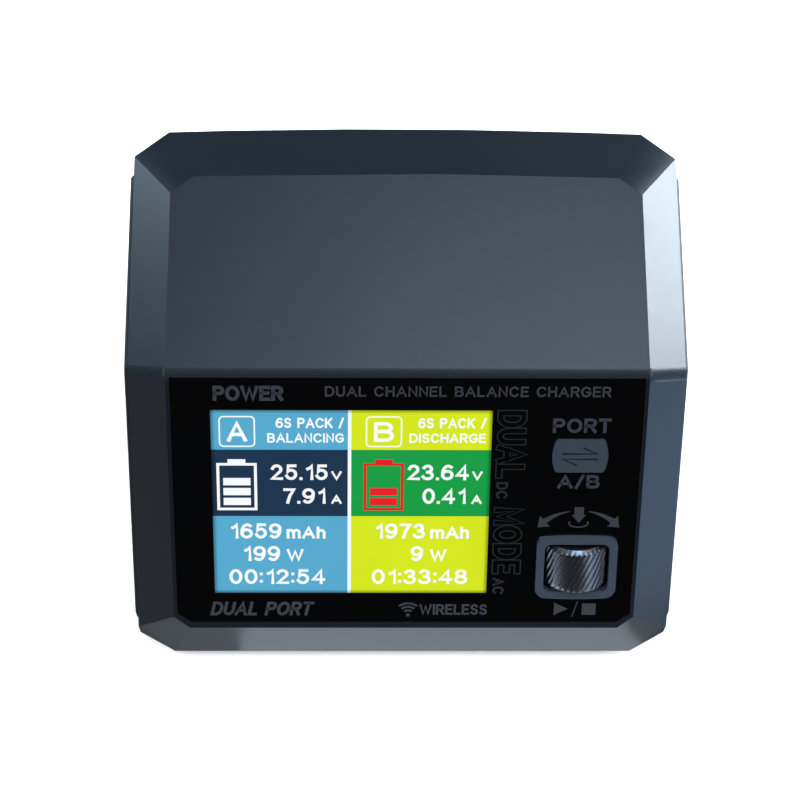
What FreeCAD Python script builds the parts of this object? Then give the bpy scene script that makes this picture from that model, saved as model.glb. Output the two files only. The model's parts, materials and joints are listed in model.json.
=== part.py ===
"""Dual-channel balance charger for model aircraft packs: a faceted hood on a shallow tray, with a sloping
front panel that carries a colour display, a channel button and a knurled wheel that turns and presses.

Frame: origin under the middle of the case on the surface it stands on, +Z up, front towards -Y,
millimetres. The sloping panel has a frame of its own: X across, V up the slope from the crest (so negative
values run down towards the foot) and N outwards from the panel's face.
"""
import FreeCAD, Part
import os
import re

import Sketcher
from FreeCAD import Vector

document = FreeCAD.newDocument("balance_charger")

# ---------------------------------------------------------------------------------------------------------
# Driving sizes, in millimetres and degrees
# ---------------------------------------------------------------------------------------------------------
SIZES = {
    # hood
    "case_half": 64.0,          # half of the hood's width
    "height": 70.0,             # floor to the flat top
    "parting": 5.0,             # where the hood meets the tray
    "rear_y": 56.2,             # rearmost point of the bowed rear wall
    "crest_y": -8.9,            # where the flat top turns down into the panel
    "panel_angle": 49.0,
    "panel_length": 68.6,
    "front_lean": 10.0,         # of the low front wall, from upright
    "bevel_in": 9.2,            # width of the side bevels, across
    "bevel_drop": 7.0,          # depth of every bevel, square to the face it borders
    "rear_run": 15.0,           # length of the rear slope, front to back
    "rear_bow": 1.1,            # how far the rear wall bows out in its middle
    "rear_cut_x": 8.0,          # rear corner cuts at the outside, across and along
    "rear_cut_y": 6.4,
    "rear_cut_in": 5.0,         # the same cut where it meets the flat top, across
    "front_cut_x": 8.6,
    "front_cut_y": 4.8,
    "front_cut_in": 3.75,
    "front_cut_turn": 40.0,     # direction of the front corner facets, in the panel
    "crest_round": 5.0,
    "wall": 2.2,
    "panel_wall": 3.2,
    "fit_gap": 0.15,            # between pieces that slot into each other
    # posts and case screws
    "post_radius": 3.4,
    "post_in": 0.3,             # from the side panel's flange to the post
    "front_post_y": -46.0,
    "rear_post_y": 44.0,
    "screw_radius": 1.5,
    "thread_gap": 0.03,
    "screw_head": 2.8,
    "head_height": 1.8,
    "drive_radius": 1.3,        # hexagonal recess in a case screw's head
    "drive_depth": 1.0,
    "screw_reach": 11.0,        # how far a case screw enters its post
    # tray and feet
    "foot_height": 2.0,
    "foot_radius": 6.0,
    "foot_sink": 0.5,
    "foot_x": 42.0,
    "foot_y": 40.0,
    "tray_floor": 2.0,
    "tray_taper": 3.0,
    "tongue_height": 2.0,
    "tongue_width": 1.6,
    # side and rear panels
    "side_margin": 3.5,         # from the side panel's slope to the edge of the hood's side
    "flange_reach": 1.3,
    "flange_thick": 1.5,
    "side_proud": 1.0,
    "top_margin": 10.0,         # from the flat top down to the side and rear panels
    "side_front_in": 1.17,      # from the front corner cut to the side panel, at the sloping panel's foot
    "side_rear_y": 45.2,
    "rear_panel_y": 52.7,       # outer face of the rear panel
    "rear_panel_thick": 2.5,
    "rear_margin": 10.0,        # from the hood's side to the rear panel
    "rear_rebate": 4.0,
    "vent_width": 2.4,
    "vent_height": 13.0,
    "vent_pitch": 6.0,
    "vent_rise": 3.0,           # from the supply board's plane up to the side vents
    "tray_vent_length": 10.0,
    # lens and its recess
    "lens_margin": 0.9,         # from the sloping panel's side edge to the lens
    "lens_top": -0.85,
    "lens_bottom": -67.1,
    "lens_cut_x": 3.1,
    "lens_cut_v": 2.3,
    "lens_gap": 0.1,
    "lens_sink": 0.4,           # lens face below the panel's face
    "lens_thick": 1.6,
    "tape_thick": 0.2,
    # display
    "screen_x": -12.75,         # middle of the display
    "screen_v": -34.1,
    "glass_width": 68.4,
    "glass_tall": 54.2,
    "glass_thick": 1.6,
    "gasket_thick": 0.3,
    "gasket_width": 1.4,
    "board_depth": 6.9,         # face of the control board below the panel's face
    "board_thick": 1.6,
    "control_margin": 0.2,      # from a front post to the control board's edge
    "control_top": -5.0,
    "control_low": -65.0,
    "ui_boss": 2.4,
    "ui_screw": 1.0,
    "ui_screw_in": 2.5,
    "ui_screw_top": -9.0,
    "ui_screw_low": -62.5,
    # channel button
    "button_x": 39.9,
    "button_v": -21.0,
    "button_width": 12.9,
    "button_tall": 8.5,
    "button_bulge": 0.9,
    "button_corner": 0.9,
    "button_proud": 0.3,
    "button_gap": 0.15,
    "button_flange": 0.8,
    "button_travel": 0.5,
    "plunger_radius": 1.6,
    "plunger_gap": 0.08,
    "button_switch_size": 6.0,
    "button_switch_tall": 2.5,
    # wheel
    "wheel_x": 40.45,
    "wheel_v": -51.4,
    "wheel_radius": 7.5,
    "wheel_width": 11.8,
    "wheel_depth": 4.2,         # wheel axis below the panel's face
    "wheel_chamfer": 0.5,
    "axle_radius": 1.0,
    "axle_gap": 0.04,
    "bezel_width": 19.1,
    "bezel_tall": 17.4,
    "bezel_bulge": 0.5,
    "bezel_corner": 2.6,
    "bezel_proud": 0.5,
    "slot_width": 15.3,
    "slot_tall": 13.2,
    "slot_corner": 1.6,
    "bezel_flange": 0.8,
    "ring_depth": 1.9,
    "carrier_width": 17.4,
    "carrier_tall": 14.4,
    "carrier_wall": 0.8,
    "carrier_top": 2.4,
    "carrier_thick": 3.8,
    "carrier_gap": 0.3,
    "housing_wall": 0.8,
    "wheel_travel": 0.6,
    "encoder_radius": 3.4,
    "encoder_thick": 1.3,
    "switch_offset": -12.4,     # press switch from the wheel's middle, across
    "switch_size": 4.0,
    "switch_tall": 1.7,
    "lug_top": 3.4,             # the carrier's lug, below the panel's face
    "lug_thick": 1.0,
    "lug_width": 3.0,
    "press_radius": 1.0,
    # circuit boards
    "supply_gap": 9.0,          # from the hood's side to the board's edge, and the same for the upper board
    "charge_gap": 6.5,
    "supply_front": -38.0,
    "supply_rear": 36.0,
    "supply_z": 8.0,
    "charge_front": -28.0,
    "charge_rear": 33.0,
    "charge_z": 30.0,
    "standoff_in": 5.0,
    "standoff_front": -24.0,
    "standoff_rear": 29.0,
    "standoff_radius": 2.75,
    "stud_radius": 1.45,
    "stud_gap": 0.05,
    # fan
    "fan_x": 25.0,
    "fan_z": 34.7,
    "fan_size": 50.0,
    "fan_depth": 15.0,
    "fan_bore": 23.5,
    "fan_hub": 11.5,
    "fan_screw_offset": 20.0,
    "blade_gap": 0.8,
    # sockets
    "inlet_x": -32.0,
    "inlet_z": 40.0,
    "inlet_width": 27.2,
    "inlet_tall": 19.6,
    "inlet_flange_width": 30.7,
    "inlet_flange_tall": 23.7,
    "inlet_mouth_width": 24.2,
    "inlet_mouth_tall": 16.0,
    "inlet_depth": 15.0,
    "dc_x": -32.0,
    "dc_z": 18.0,
    "dc_width": 15.9,
    "dc_tall": 8.1,
    "dc_wall": 1.0,
    "pin_spacing": 7.2,
    "pin_radius": 1.75,
    "output_y": 13.5,
    "output_width": 16.0,
    "output_tall": 8.2,
    "header_y": -10.5,
    "header_width": 19.9,
    "header_tall": 5.75,
    "header_wall": 0.8,
    "header_pitch": 2.5,
    "usb_y": 27.5,
    "usb_width": 8.94,
    "usb_tall": 3.16,
    "usb_length": 7.4,
    "output_start": 20.2,       # rear end of an output socket, back from its mouth
    "output_body": 11.0,
    "nose_width": 13.7,
    "nose_tall": 5.9,
    "contact_length": 12.0,
    "header_length": 14.0,
    "header_depth": 7.5,
    "dc_depth": 8.7,
    "blade_tail": 1.7,
    "lead_radius": 1.1,
    "lead_bend": 1.4,
    "lead_y": 34.5,
    "strut_thick": 2.0,
    "blade_chord": 12.0,
    "flex_width": 20.0,
    "flex_thick": 0.2,
    "grille_hole": 1.9,
    "grille_pitch": 5.1,
    # parts on the boards
    "coil_x": 34.0,
    "coil_y": -8.0,
    "coil_radius": 9.0,
    "coil_bore": 4.0,
    "coil_tall": 8.0,
    "can_x": 30.0,
    "can_y": 8.0,
    "can_pitch": 9.0,
    "can_radius": 4.0,
    "can_tall": 12.0,
    "sink_half": 20.0,
    "sink_front": -2.0,
    "sink_rear": 28.0,
    "sink_tall": 16.0,
    "sink_base": 3.0,
    "fin_thick": 1.2,
    "buzzer_x": -12.0,
    "buzzer_y": -13.0,
    "buzzer_radius": 6.0,
    "buzzer_tall": 6.0,
    "radio_x": 5.0,
    "radio_y": -21.0,
    "radio_width": 18.0,
    "radio_depth": 14.0,
    "radio_tall": 2.4,
    "link_x": -10.0,
    "link_y": -24.0,
    "link_width": 20.0,
    "link_depth": 4.0,
    "core_x": 12.0,
    "core_y": 2.0,
    "core_half": 15.0,
    "core_depth": 16.0,
    "core_tall": 17.0,
    "core_yoke": 4.0,           # also the thickness of its outer legs
    "core_leg": 5.0,            # half of its middle leg
    "winding_gap": 0.3,
    "winding_depth": 26.0,
    "bulk_low_x": -30.0,
    "bulk_high_x": -14.0,
    "bulk_y": -16.0,
    "bulk_radius": 7.0,
    "bulk_length": 26.0,
    "choke_x": -44.0,
    "choke_y": 19.0,
    "choke_radius": 7.5,
    "choke_bore": 3.5,
    "choke_tall": 9.0,
    "film_x": -34.0,
    "film_y": 14.0,
    "film_width": 10.0,
    "film_depth": 18.0,
    "film_tall": 14.0,
    "plate_x": 34.0,
    "plate_pitch": 8.0,
    "plate_y": -20.0,
    "plate_thick": 2.5,
    "plate_depth": 44.0,
    "plate_tall": 17.0,
}

# Sizes that follow from the ones above
DERIVED = {
    "side_top": "height - top_margin",
    "rear_panel_half": "case_half - rear_margin",
    "rear_panel_top": "height - top_margin",
    "rear_open_half": "rear_panel_half - rear_rebate",
    "rear_open_top": "rear_panel_top - rear_rebate / 2",
    "lens_half": "case_half - bevel_in - lens_margin",
    "control_half": "case_half - wall - flange_thick - post_in - 2 * post_radius - control_margin",
    "ui_screw_x": "control_half - ui_screw_in",
    "supply_half": "case_half - supply_gap",
    "charge_half": "case_half - charge_gap",
    "standoff_x": "supply_half - standoff_in",
}

sheet = document.addObject("Spreadsheet::Sheet", "sizes")
for row, (alias, size) in enumerate(SIZES.items(), start=1):
    sheet.set(f"A{row}", alias)
    sheet.set(f"B{row}", str(size))
    sheet.setAlias(f"B{row}", alias)
document.recompute()
SIZE_NAME = re.compile(r"\b(" + "|".join(SIZES) + r")\b")
DERIVED_NAME = re.compile(r"\b(" + "|".join(DERIVED) + r")\b")

# ---------------------------------------------------------------------------------------------------------
# Formulas and places
# ---------------------------------------------------------------------------------------------------------
UPRIGHT = "rotation(vector(0; 0; 1); 0)"
FACING_X = "rotation(vector(1; 1; 1); 120)"         # sketch X along Y, sketch Y along Z, normal +X
FACING_FRONT = "rotation(vector(1; 0; 0); 90)"      # sketch X along X, sketch Y along Z, normal -Y
ALONG_X = "rotation(vector(0; 1; 0); 90)"
ALONG_Y = "rotation(vector(1; 0; 0); -90)"
FACING_REAR = "rotation(vector(0; 1; 1); 180)"      # sketch X along -X, sketch Y along Z, normal +Y
TILTED = "rotation(vector(1; 0; 0); panel_angle)"
SIDE_TURN = {"right": UPRIGHT, "left": "rotation(vector(0; 0; 1); 180)"}


def formula(text):
    """Write out each derived size in a plain formula and give every size the sheet's name."""
    text = str(text)
    while DERIVED_NAME.search(text):
        text = DERIVED_NAME.sub(lambda match: f"({DERIVED[match.group()]})", text)
    return SIZE_NAME.sub(r"sizes.\1", text)


def value(text):
    """Work a formula out with the sheet's sizes."""
    return float(sheet.evalExpression(formula(text)))


def at(x=0, y=0, z=0, turn=UPRIGHT):
    """A place in the charger's own frame."""
    return f"placement(vector({x}; {y}; {z}); {turn})"


def on_panel(x=0, v=0, n=0, turn=UPRIGHT):
    """A place in the sloping panel's frame."""
    return (f"placement(vector({x}; crest_y + ({v}) * cos(panel_angle) - ({n}) * sin(panel_angle);"
            f" height + ({v}) * sin(panel_angle) + ({n}) * cos(panel_angle)); {TILTED} * {turn})")


# ---------------------------------------------------------------------------------------------------------
# Sketches, each drawn inside a body of its own
# ---------------------------------------------------------------------------------------------------------
def new_body(label):
    body = document.addObject("PartDesign::Body", label)
    body.Label = label
    return body


def new_sketch(body, name, place):
    drawing = body.newObject("Sketcher::SketchObject", name)
    planes = {feature.Role: feature for feature in body.Origin.OriginFeatures}
    drawing.AttachmentSupport = [(planes["XY_Plane"], "")]
    drawing.MapMode = "FlatFace"
    drawing.setExpression("AttachmentOffset", formula(place))
    return drawing


def fix(drawing, kind, *terms):
    """Add a constraint whose size, the last term, is a formula."""
    *where, size = terms
    index = drawing.addConstraint(Sketcher.Constraint(kind, *where, value(size)))
    drawing.setExpression(f"Constraints[{index}]", formula(size))


def fix_point(drawing, geometry, point, x, y):
    fix(drawing, "DistanceX", -1, 1, geometry, point, x)
    fix(drawing, "DistanceY", -1, 1, geometry, point, y)


def polygon(*corners):
    """A closed outline of straight lines."""
    def draw(drawing):
        first = drawing.GeometryCount
        points = [Vector(value(x), value(y), 0) for x, y in corners]
        for here, there in zip(points, points[1:] + points[:1]):
            drawing.addGeometry(Part.LineSegment(here, there), False)
        for index, (x, y) in enumerate(corners):
            after = first + (index + 1) % len(corners)
            drawing.addConstraint(Sketcher.Constraint("Coincident", first + index, 2, after, 1))
            fix_point(drawing, first + index, 1, x, y)
    return draw


def box(x_low, x_high, y_low, y_high):
    return polygon((x_low, y_low), (x_high, y_low), (x_high, y_high), (x_low, y_high))


def centred(x, y, width, tall, grow=0):
    """A rectangle about a point, grown by an amount on every side."""
    half_x = f"(({width}) / 2 + ({grow}))"
    half_y = f"(({tall}) / 2 + ({grow}))"
    return box(f"({x}) - {half_x}", f"({x}) + {half_x}", f"({y}) - {half_y}", f"({y}) + {half_y}")


def circle(x, y, radius):
    def draw(drawing):
        centre = Vector(value(x), value(y), 0)
        index = drawing.addGeometry(Part.Circle(centre, Vector(0, 0, 1), value(radius)))
        fix(drawing, "Radius", index, radius)
        fix_point(drawing, index, 3, x, y)
    return draw


def hexagon(x, y, radius):
    return polygon(*[(f"{x} + {radius} * cos({60 * turn})", f"{y} + {radius} * sin({60 * turn})")
                     for turn in range(6)])


def pillow(x, y, width, tall, bulge, bulge_across):
    """A rectangle two of whose sides are arcs, within the overall width and height given.

    The arcs are the left and right sides where bulge_across is true, otherwise the top and bottom."""
    def draw(drawing):
        half_x = f"(({width}) / 2 - ({bulge}))" if bulge_across else f"(({width}) / 2)"
        half_y = f"(({tall}) / 2)" if bulge_across else f"(({tall}) / 2 - ({bulge}))"
        signs = ((-1, -1), (1, -1), (1, 1), (-1, 1))
        corners = [(f"({x}) + {i} * {half_x}", f"({y}) + {j} * {half_y}") for i, j in signs]
        points = [Vector(value(a), value(b), 0) for a, b in corners]
        chord = half_y if bulge_across else half_x
        radius = f"(({chord} * {chord} + ({bulge}) * ({bulge})) / (2 * ({bulge})))"
        first = drawing.GeometryCount
        out = value(bulge)
        for index in range(4):
            here, there = points[index], points[(index + 1) % 4]
            middle = (here + there) / 2
            if index % 2 == (1 if bulge_across else 0):
                along = there - here
                outward = Vector(along.y, -along.x, 0).normalize()
                drawing.addGeometry(Part.Arc(here, middle + outward * out, there), False)
            else:
                drawing.addGeometry(Part.LineSegment(here, there), False)
        for index in range(4):
            after = first + (index + 1) % 4
            drawing.addConstraint(Sketcher.Constraint("Coincident", first + index, 2, after, 1))
            fix_point(drawing, first + index, 1, *corners[index])
            if index % 2 == (1 if bulge_across else 0):
                fix(drawing, "Radius", first + index, radius)
    return draw


def pad(body, name, place, length, *shapes):
    """Add material from a plane, along its normal."""
    drawing = new_sketch(body, name + "_sketch", place)
    for draw in shapes:
        draw(drawing)
    feature = body.newObject("PartDesign::Pad", name)
    feature.Profile = drawing
    feature.setExpression("Length", formula(length))
    document.recompute()
    return feature


def pocket(body, name, place, length, *shapes):
    """Take material away from a plane, along its normal."""
    before = body.Shape.Volume
    drawing = new_sketch(body, name + "_sketch", place)
    for draw in shapes:
        draw(drawing)
    feature = body.newObject("PartDesign::Pocket", name)
    feature.Profile = drawing
    feature.setExpression("Length", formula(length))
    feature.Reversed = True
    document.recompute()
    if body.Shape.Volume > before - 1e-6:
        raise RuntimeError(f"{name} cuts nothing")
    return feature


def dress(body, kind, name, size, chosen):
    """Fillet or chamfer the edges for which chosen(edge) is true."""
    solid = body.Tip
    edges = [f"Edge{index}" for index, edge in enumerate(solid.Shape.Edges, start=1) if chosen(edge)]
    feature = body.newObject(f"PartDesign::{kind}", name)
    feature.Base = (solid, edges)
    feature.setExpression("Radius" if kind == "Fillet" else "Size", formula(size))
    document.recompute()
    if "Invalid" in feature.State:
        raise RuntimeError(f"{name} did not compute")
    return feature


def upright_edges(edge):
    """Edges that run along the third axis of the body's own frame."""
    direction = edge.tangentAt(edge.FirstParameter)
    return abs(abs(direction.z) - 1) < 1e-6


# ---------------------------------------------------------------------------------------------------------
# Primitives and booleans
# ---------------------------------------------------------------------------------------------------------
def block(label, low, size, place=at):
    """A box from its low corner and its three sizes, in the frame that place gives."""
    piece = document.addObject("Part::Box", label)
    for side, length in zip(("Length", "Width", "Height"), size):
        piece.setExpression(side, formula(length))
    piece.setExpression("Placement", formula(place(*low)))
    return piece


def rod(label, base, radius, length, turn=UPRIGHT, place=at):
    piece = document.addObject("Part::Cylinder", label)
    piece.setExpression("Radius", formula(radius))
    piece.setExpression("Height", formula(length))
    piece.setExpression("Placement", formula(place(*base, turn)))
    return piece


def join(label, *pieces):
    whole = document.addObject("Part::MultiFuse", label)
    whole.Shapes = list(pieces)
    return whole


def cut(label, base, *tools):
    result = document.addObject("Part::Cut", label)
    result.Base = base
    result.Tool = tools[0] if len(tools) == 1 else join(label + "_tools", *tools)
    return result


def common(label, base, tool):
    result = document.addObject("Part::Common", label)
    result.Base = base
    result.Tool = tool
    return result


def tube(label, base, radius, bore, length, turn=UPRIGHT, place=at):
    outer = rod(label + "_outer", base, radius, length, turn, place)
    inner = rod(label + "_bore", base, bore, length, turn, place)
    return cut(label, outer, inner)


SUBPARTS = []


def subpart(piece, label):
    """Name a finished piece, which is written to a file of that name."""
    piece.Label = label
    SUBPARTS.append(piece)
    return piece


SIDES = (("left", -1), ("right", 1))
POST_X = "(case_half - wall - flange_thick - post_in - post_radius)"
POSTS = [(f"{sign} * {POST_X}", post_y) for post_y in ("front_post_y", "rear_post_y")
         for side, sign in SIDES]
UI_SCREWS = [(f"{sign} * ui_screw_x", screw_v) for screw_v in ("ui_screw_top", "ui_screw_low")
             for side, sign in SIDES]
STANDOFFS = [(f"{sign} * standoff_x", place_y) for place_y in ("standoff_front", "standoff_rear")
             for side, sign in SIDES]

# ---------------------------------------------------------------------------------------------------------
# Hood: the same planes, set inwards by a wall, give the cavity
# ---------------------------------------------------------------------------------------------------------
REACH = 150                 # half-spaces are cut with squares this far each way
BEVEL_TURN = "atan(bevel_drop / bevel_in)"
FOOT_Y = "(crest_y - panel_length * cos(panel_angle))"
FOOT_Z = "(height - panel_length * sin(panel_angle))"
FRONT_Y = f"({FOOT_Y} - ({FOOT_Z} - parting) * tan(front_lean))"
BOW_HALF = "(case_half - rear_cut_x)"
BOW_RADIUS = f"(({BOW_HALF} * {BOW_HALF} + rear_bow * rear_bow) / (2 * rear_bow))"
REAR_TURN = "atan(rear_cut_y / rear_cut_x)"
REAR_FALL = (f"atan(bevel_drop / ((bevel_in + rear_cut_in - rear_cut_x) * sin({REAR_TURN})"
             f" + rear_run * cos({REAR_TURN})))")
FRONT_RUN = "(bevel_drop / tan(90 - front_lean - panel_angle))"
FRONT_FALL = (f"atan(bevel_drop / ((bevel_in + front_cut_in - front_cut_x) * sin(front_cut_turn)"
              f" + {FRONT_RUN} * cos(front_cut_turn)))")


def hood_planes():
    """The hood's flat faces: a name, a place whose third axis points outwards, and the wall behind it."""
    yield "panel", on_panel(), "panel_wall"
    yield "front", at(0, FOOT_Y, FOOT_Z, "rotation(vector(1; 0; 0); 90 - front_lean)"), "wall"
    for side, sign in SIDES:
        lean = f"rotation(vector(0; 1; 0); {sign} * {BEVEL_TURN})"
        edge = f"{sign} * (case_half - bevel_in)"
        yield f"top_bevel_{side}", at(edge, 0, "height", lean), "wall"
        yield f"panel_bevel_{side}", on_panel(edge, 0, 0, lean), "wall"
        turn = f"rotation(vector(0; 0; 1); {-sign} * {REAR_TURN})"
        corner = f"{sign} * (case_half - bevel_in - rear_cut_in)"
        facet = f"{turn} * rotation(vector(1; 0; 0); -{REAR_FALL})"
        yield f"rear_facet_{side}", at(corner, "rear_y - rear_bow - rear_run", "height", facet), "wall"
        corner = f"{sign} * (case_half - rear_cut_x)"
        upright = f"{turn} * rotation(vector(1; 0; 0); -90)"
        yield f"rear_corner_{side}", at(corner, "rear_y - rear_bow", 0, upright), "wall"
        turn = f"rotation(vector(0; 0; 1); {sign} * front_cut_turn)"
        corner = f"{sign} * (case_half - bevel_in - front_cut_in)"
        facet = f"{turn} * rotation(vector(1; 0; 0); {FRONT_FALL})"
        yield f"front_facet_{side}", on_panel(corner, "-panel_length", 0, facet), "wall"
        turn = f"rotation(vector(0; 0; 1); {sign} * atan(front_cut_y / front_cut_x))"
        corner = f"{sign} * (case_half - front_cut_x)"
        upright = f"{turn} * rotation(vector(1; 0; 0); 90)"
        yield f"front_corner_{side}", at(corner, FRONT_Y, 0, upright), "wall"


def slice_off(body, name, place):
    """Take away everything outside one plane."""
    pocket(body, name, place, REACH, box(-REACH, REACH, -REACH, REACH))


def near_crest(edge):
    """The crest and the two mitres that carry it down the side bevels."""
    ends = [vertex.Point for vertex in edge.Vertexes]
    return all(abs(end.y - value("crest_y")) < value("bevel_drop") / 2 and
               end.z > value("height - bevel_drop") - 1e-3 for end in ends)


def build_hull():
    """The hood's outside as one solid."""
    hull = new_body("hull")
    pad(hull, "hull_block", at(z="parting"), "height - parting",
        box("-case_half", "case_half", f"{FRONT_Y} - 1", "rear_y + 1"))
    for name, place, wall in hood_planes():
        slice_off(hull, "hull_" + name, place)
    drawing = new_sketch(hull, "hull_rear_sketch", at(y=f"rear_y - {BOW_RADIUS}", turn=FACING_X))
    polygon((f"{BOW_RADIUS} - rear_run", "height"), (BOW_RADIUS, "height - bevel_drop"),
            (BOW_RADIUS, "parting - 1"), (f"{BOW_RADIUS} + 5", "parting - 1"),
            (f"{BOW_RADIUS} + 5", "height + 1"), (f"{BOW_RADIUS} - rear_run", "height + 1"))(drawing)
    rear = hull.newObject("PartDesign::Groove", "hull_rear")
    rear.Profile = drawing
    rear.ReferenceAxis = (drawing, ["V_Axis"])
    rear.setExpression("Angle", formula(f"2 * asin(1.3 * case_half / {BOW_RADIUS})"))
    rear.Midplane = True
    document.recompute()
    dress(hull, "Fillet", "hull_crest", "crest_round", near_crest)
    return hull


def build_cavity():
    """The space inside the hood, open below."""
    cavity = new_body("cavity")
    pad(cavity, "cavity_block", at(z="parting - 1"), "height - wall - parting + 1",
        box("wall - case_half", "case_half - wall", f"{FRONT_Y} - 1", "rear_panel_y"))
    for name, place, wall in hood_planes():
        inward = f"{place} * placement(vector(0; 0; -{wall}); {UPRIGHT})"
        slice_off(cavity, "cavity_" + name, inward)
    fall = "rotation(vector(1; 0; 0); -atan(bevel_drop / rear_run))"
    rear = at(0, "rear_y - rear_run", "height", fall)
    slice_off(cavity, "cavity_rear", f"{rear} * placement(vector(0; 0; -wall); {UPRIGHT})")
    return cavity


def slope_y(z, depth):
    """Y of a line parallel to the panel, a depth below it, at height z."""
    return f"(crest_y + (({z} - height) * cos(panel_angle) + {depth}) / sin(panel_angle))"


def slope_z(y, depth):
    return f"(height + (({y} - crest_y) * sin(panel_angle) - ({depth})) / cos(panel_angle))"


SIDE_FRONT_Y = f"({FOOT_Y} + front_cut_y + side_front_in)"


def side_outline(grow):
    """The side panel's outline in Y and Z, open to the tray below."""
    depth = f"(bevel_drop + side_margin - ({grow}))"
    front = f"({SIDE_FRONT_Y} - ({grow}))"
    rear = f"(side_rear_y + ({grow}))"
    top = f"(side_top + ({grow}))"
    return polygon((front, "parting"), (rear, "parting"), (rear, top), (slope_y(top, depth), top),
                   (front, slope_z(front, depth)))


def lens_outline(gap):
    """The lens's outline in the panel's frame, drawn in by a gap, with its lower corners cut."""
    half = f"(lens_half - ({gap}))"
    top = f"(lens_top - ({gap}))"
    low = f"(lens_bottom + ({gap}))"
    cut_x = f"({half} - lens_cut_x)"
    cut_v = f"({low} + lens_cut_v)"
    return polygon((f"-{half}", top), (f"-{half}", cut_v), (f"-{cut_x}", low), (cut_x, low), (half, cut_v),
                   (half, top))


def build_upper_case():
    hull = build_hull()
    shell = cut("hood_shell", hull, build_cavity())
    posts = [rod(f"post_{index}", (x, y, "parting + tongue_height"), "post_radius", "height")
             for index, (x, y) in enumerate(POSTS)]
    bosses = [rod(f"panel_boss_{index}", (x, v, "-board_depth"), "ui_boss", "board_depth - lens_sink",
                  place=on_panel) for index, (x, v) in enumerate(UI_SCREWS)]
    inside = common("hood_posts", join("hood_post_rods", *posts, *bosses), hull)
    pilots = [rod(f"pilot_{index}", (x, y, "parting"), "screw_radius + thread_gap",
                  "tongue_height + screw_reach") for index, (x, y) in enumerate(POSTS)]
    pilots += [rod(f"panel_pilot_{index}", (x, v, "-board_depth"), "ui_screw + thread_gap",
                   "board_depth - lens_sink - lens_thick - 0.8", place=on_panel)
               for index, (x, v) in enumerate(UI_SCREWS)]
    openings = new_body("hood_openings")
    floor = "-(lens_sink + lens_thick + tape_thick)"
    pad(openings, "lens_recess", on_panel(n=floor), 10, lens_outline(0))
    pad(openings, "display_window", on_panel(n=f"{floor} - 5"), "5",
        centred("screen_x", "screen_v", "glass_width", "glass_tall", 0.3))
    pad(openings, "button_window", on_panel(n=f"{floor} - 5"), "5",
        centred("button_x", "button_v", "button_width", "button_tall", "button_flange + 0.4"))
    pad(openings, "wheel_window", on_panel(n=f"{floor} - 5"), "5",
        centred("wheel_x", "wheel_v", "bezel_width", "bezel_tall", "bezel_flange + 0.2"))
    sides = new_body("hood_side_openings")
    pad(sides, "side_openings", at(x="-case_half - 1", turn=FACING_X), "2 * case_half + 2",
        side_outline("fit_gap"))
    drop = block("hood_side_drop", ("-case_half - 1", f"{SIDE_FRONT_Y} - fit_gap", "parting - 1"),
                 ("2 * case_half + 2", f"side_rear_y - {SIDE_FRONT_Y} + 2 * fit_gap", 1))
    rear = block("hood_rear_opening", ("-rear_open_half", "rear_panel_y - 1", "parting - 1"),
                 ("2 * rear_open_half", 8, "rear_open_top - parting + 1"))
    solid = join("hood_solid", shell, inside)
    return subpart(cut("hood", solid, openings, sides, drop, rear, *pilots), "upper_case")


def tray_ring(inset):
    """An outline that clears the hood's walls, the side panels' flanges and the rear panel."""
    half = f"(case_half - wall - flange_thick - fit_gap - ({inset}))"
    front = f"({FRONT_Y} + tongue_height * tan(front_lean) + wall / cos(front_lean) + fit_gap + ({inset}))"
    rear = f"(rear_panel_y - rear_panel_thick - fit_gap - ({inset}))"
    turn = "atan(front_cut_y / front_cut_x)"
    reach = (f"((case_half - front_cut_x) * sin({turn}) - {FRONT_Y} * cos({turn})"
             f" - tongue_height * tan(front_lean) - wall / cos(front_lean) - fit_gap - ({inset}))")
    front_x = f"(({reach} + {front} * cos({turn})) / sin({turn}))"
    side_front = f"(({half} * sin({turn}) - {reach}) / cos({turn}))"
    reach = (f"((case_half - rear_cut_x) * sin({REAR_TURN}) + (rear_y - rear_bow) * cos({REAR_TURN})"
             f" - wall - fit_gap - ({inset}))")
    rear_x = f"(({reach} - {rear} * cos({REAR_TURN})) / sin({REAR_TURN}))"
    side_rear = f"(({reach} - {half} * sin({REAR_TURN})) / cos({REAR_TURN}))"
    right = [(front_x, front), (half, side_front), (half, side_rear), (rear_x, rear)]
    left = [(f"-{x}", y) for x, y in reversed(right)]
    return polygon(*right, *left)


def tray_planes():
    """The tray's tapered sides."""
    lean = "(90 deg + atan(tray_taper / (parting - foot_height)))"
    front = f"rotation(vector(1; 0; 0); {lean})"
    rear = f"rotation(vector(1; 0; 0); -{lean})"
    yield "front", at(0, FRONT_Y, "parting", front)
    yield "rear", at(0, "rear_y - rear_bow", "parting", rear)
    for side, sign in SIDES:
        turn = f"rotation(vector(0; 1; 0); {sign} * {lean})"
        yield f"side_{side}", at(f"{sign} * case_half", 0, "parting", turn)
        turn = f"rotation(vector(0; 0; 1); {-sign} * {REAR_TURN}) * {rear}"
        corner = f"{sign} * (case_half - rear_cut_x)"
        yield f"rear_corner_{side}", at(corner, "rear_y - rear_bow", "parting", turn)
        turn = f"rotation(vector(0; 0; 1); {sign} * atan(front_cut_y / front_cut_x)) * {front}"
        corner = f"{sign} * (case_half - front_cut_x)"
        yield f"front_corner_{side}", at(corner, FRONT_Y, "parting", turn)


VENT_COUNT = 11


def row_of_slots(pitch, y, width, tall):
    """Slots side by side along a sketch's first axis, about its middle."""
    return [centred(f"{index - (VENT_COUNT - 1) / 2} * {pitch}", y, width, tall)
            for index in range(VENT_COUNT)]


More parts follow.
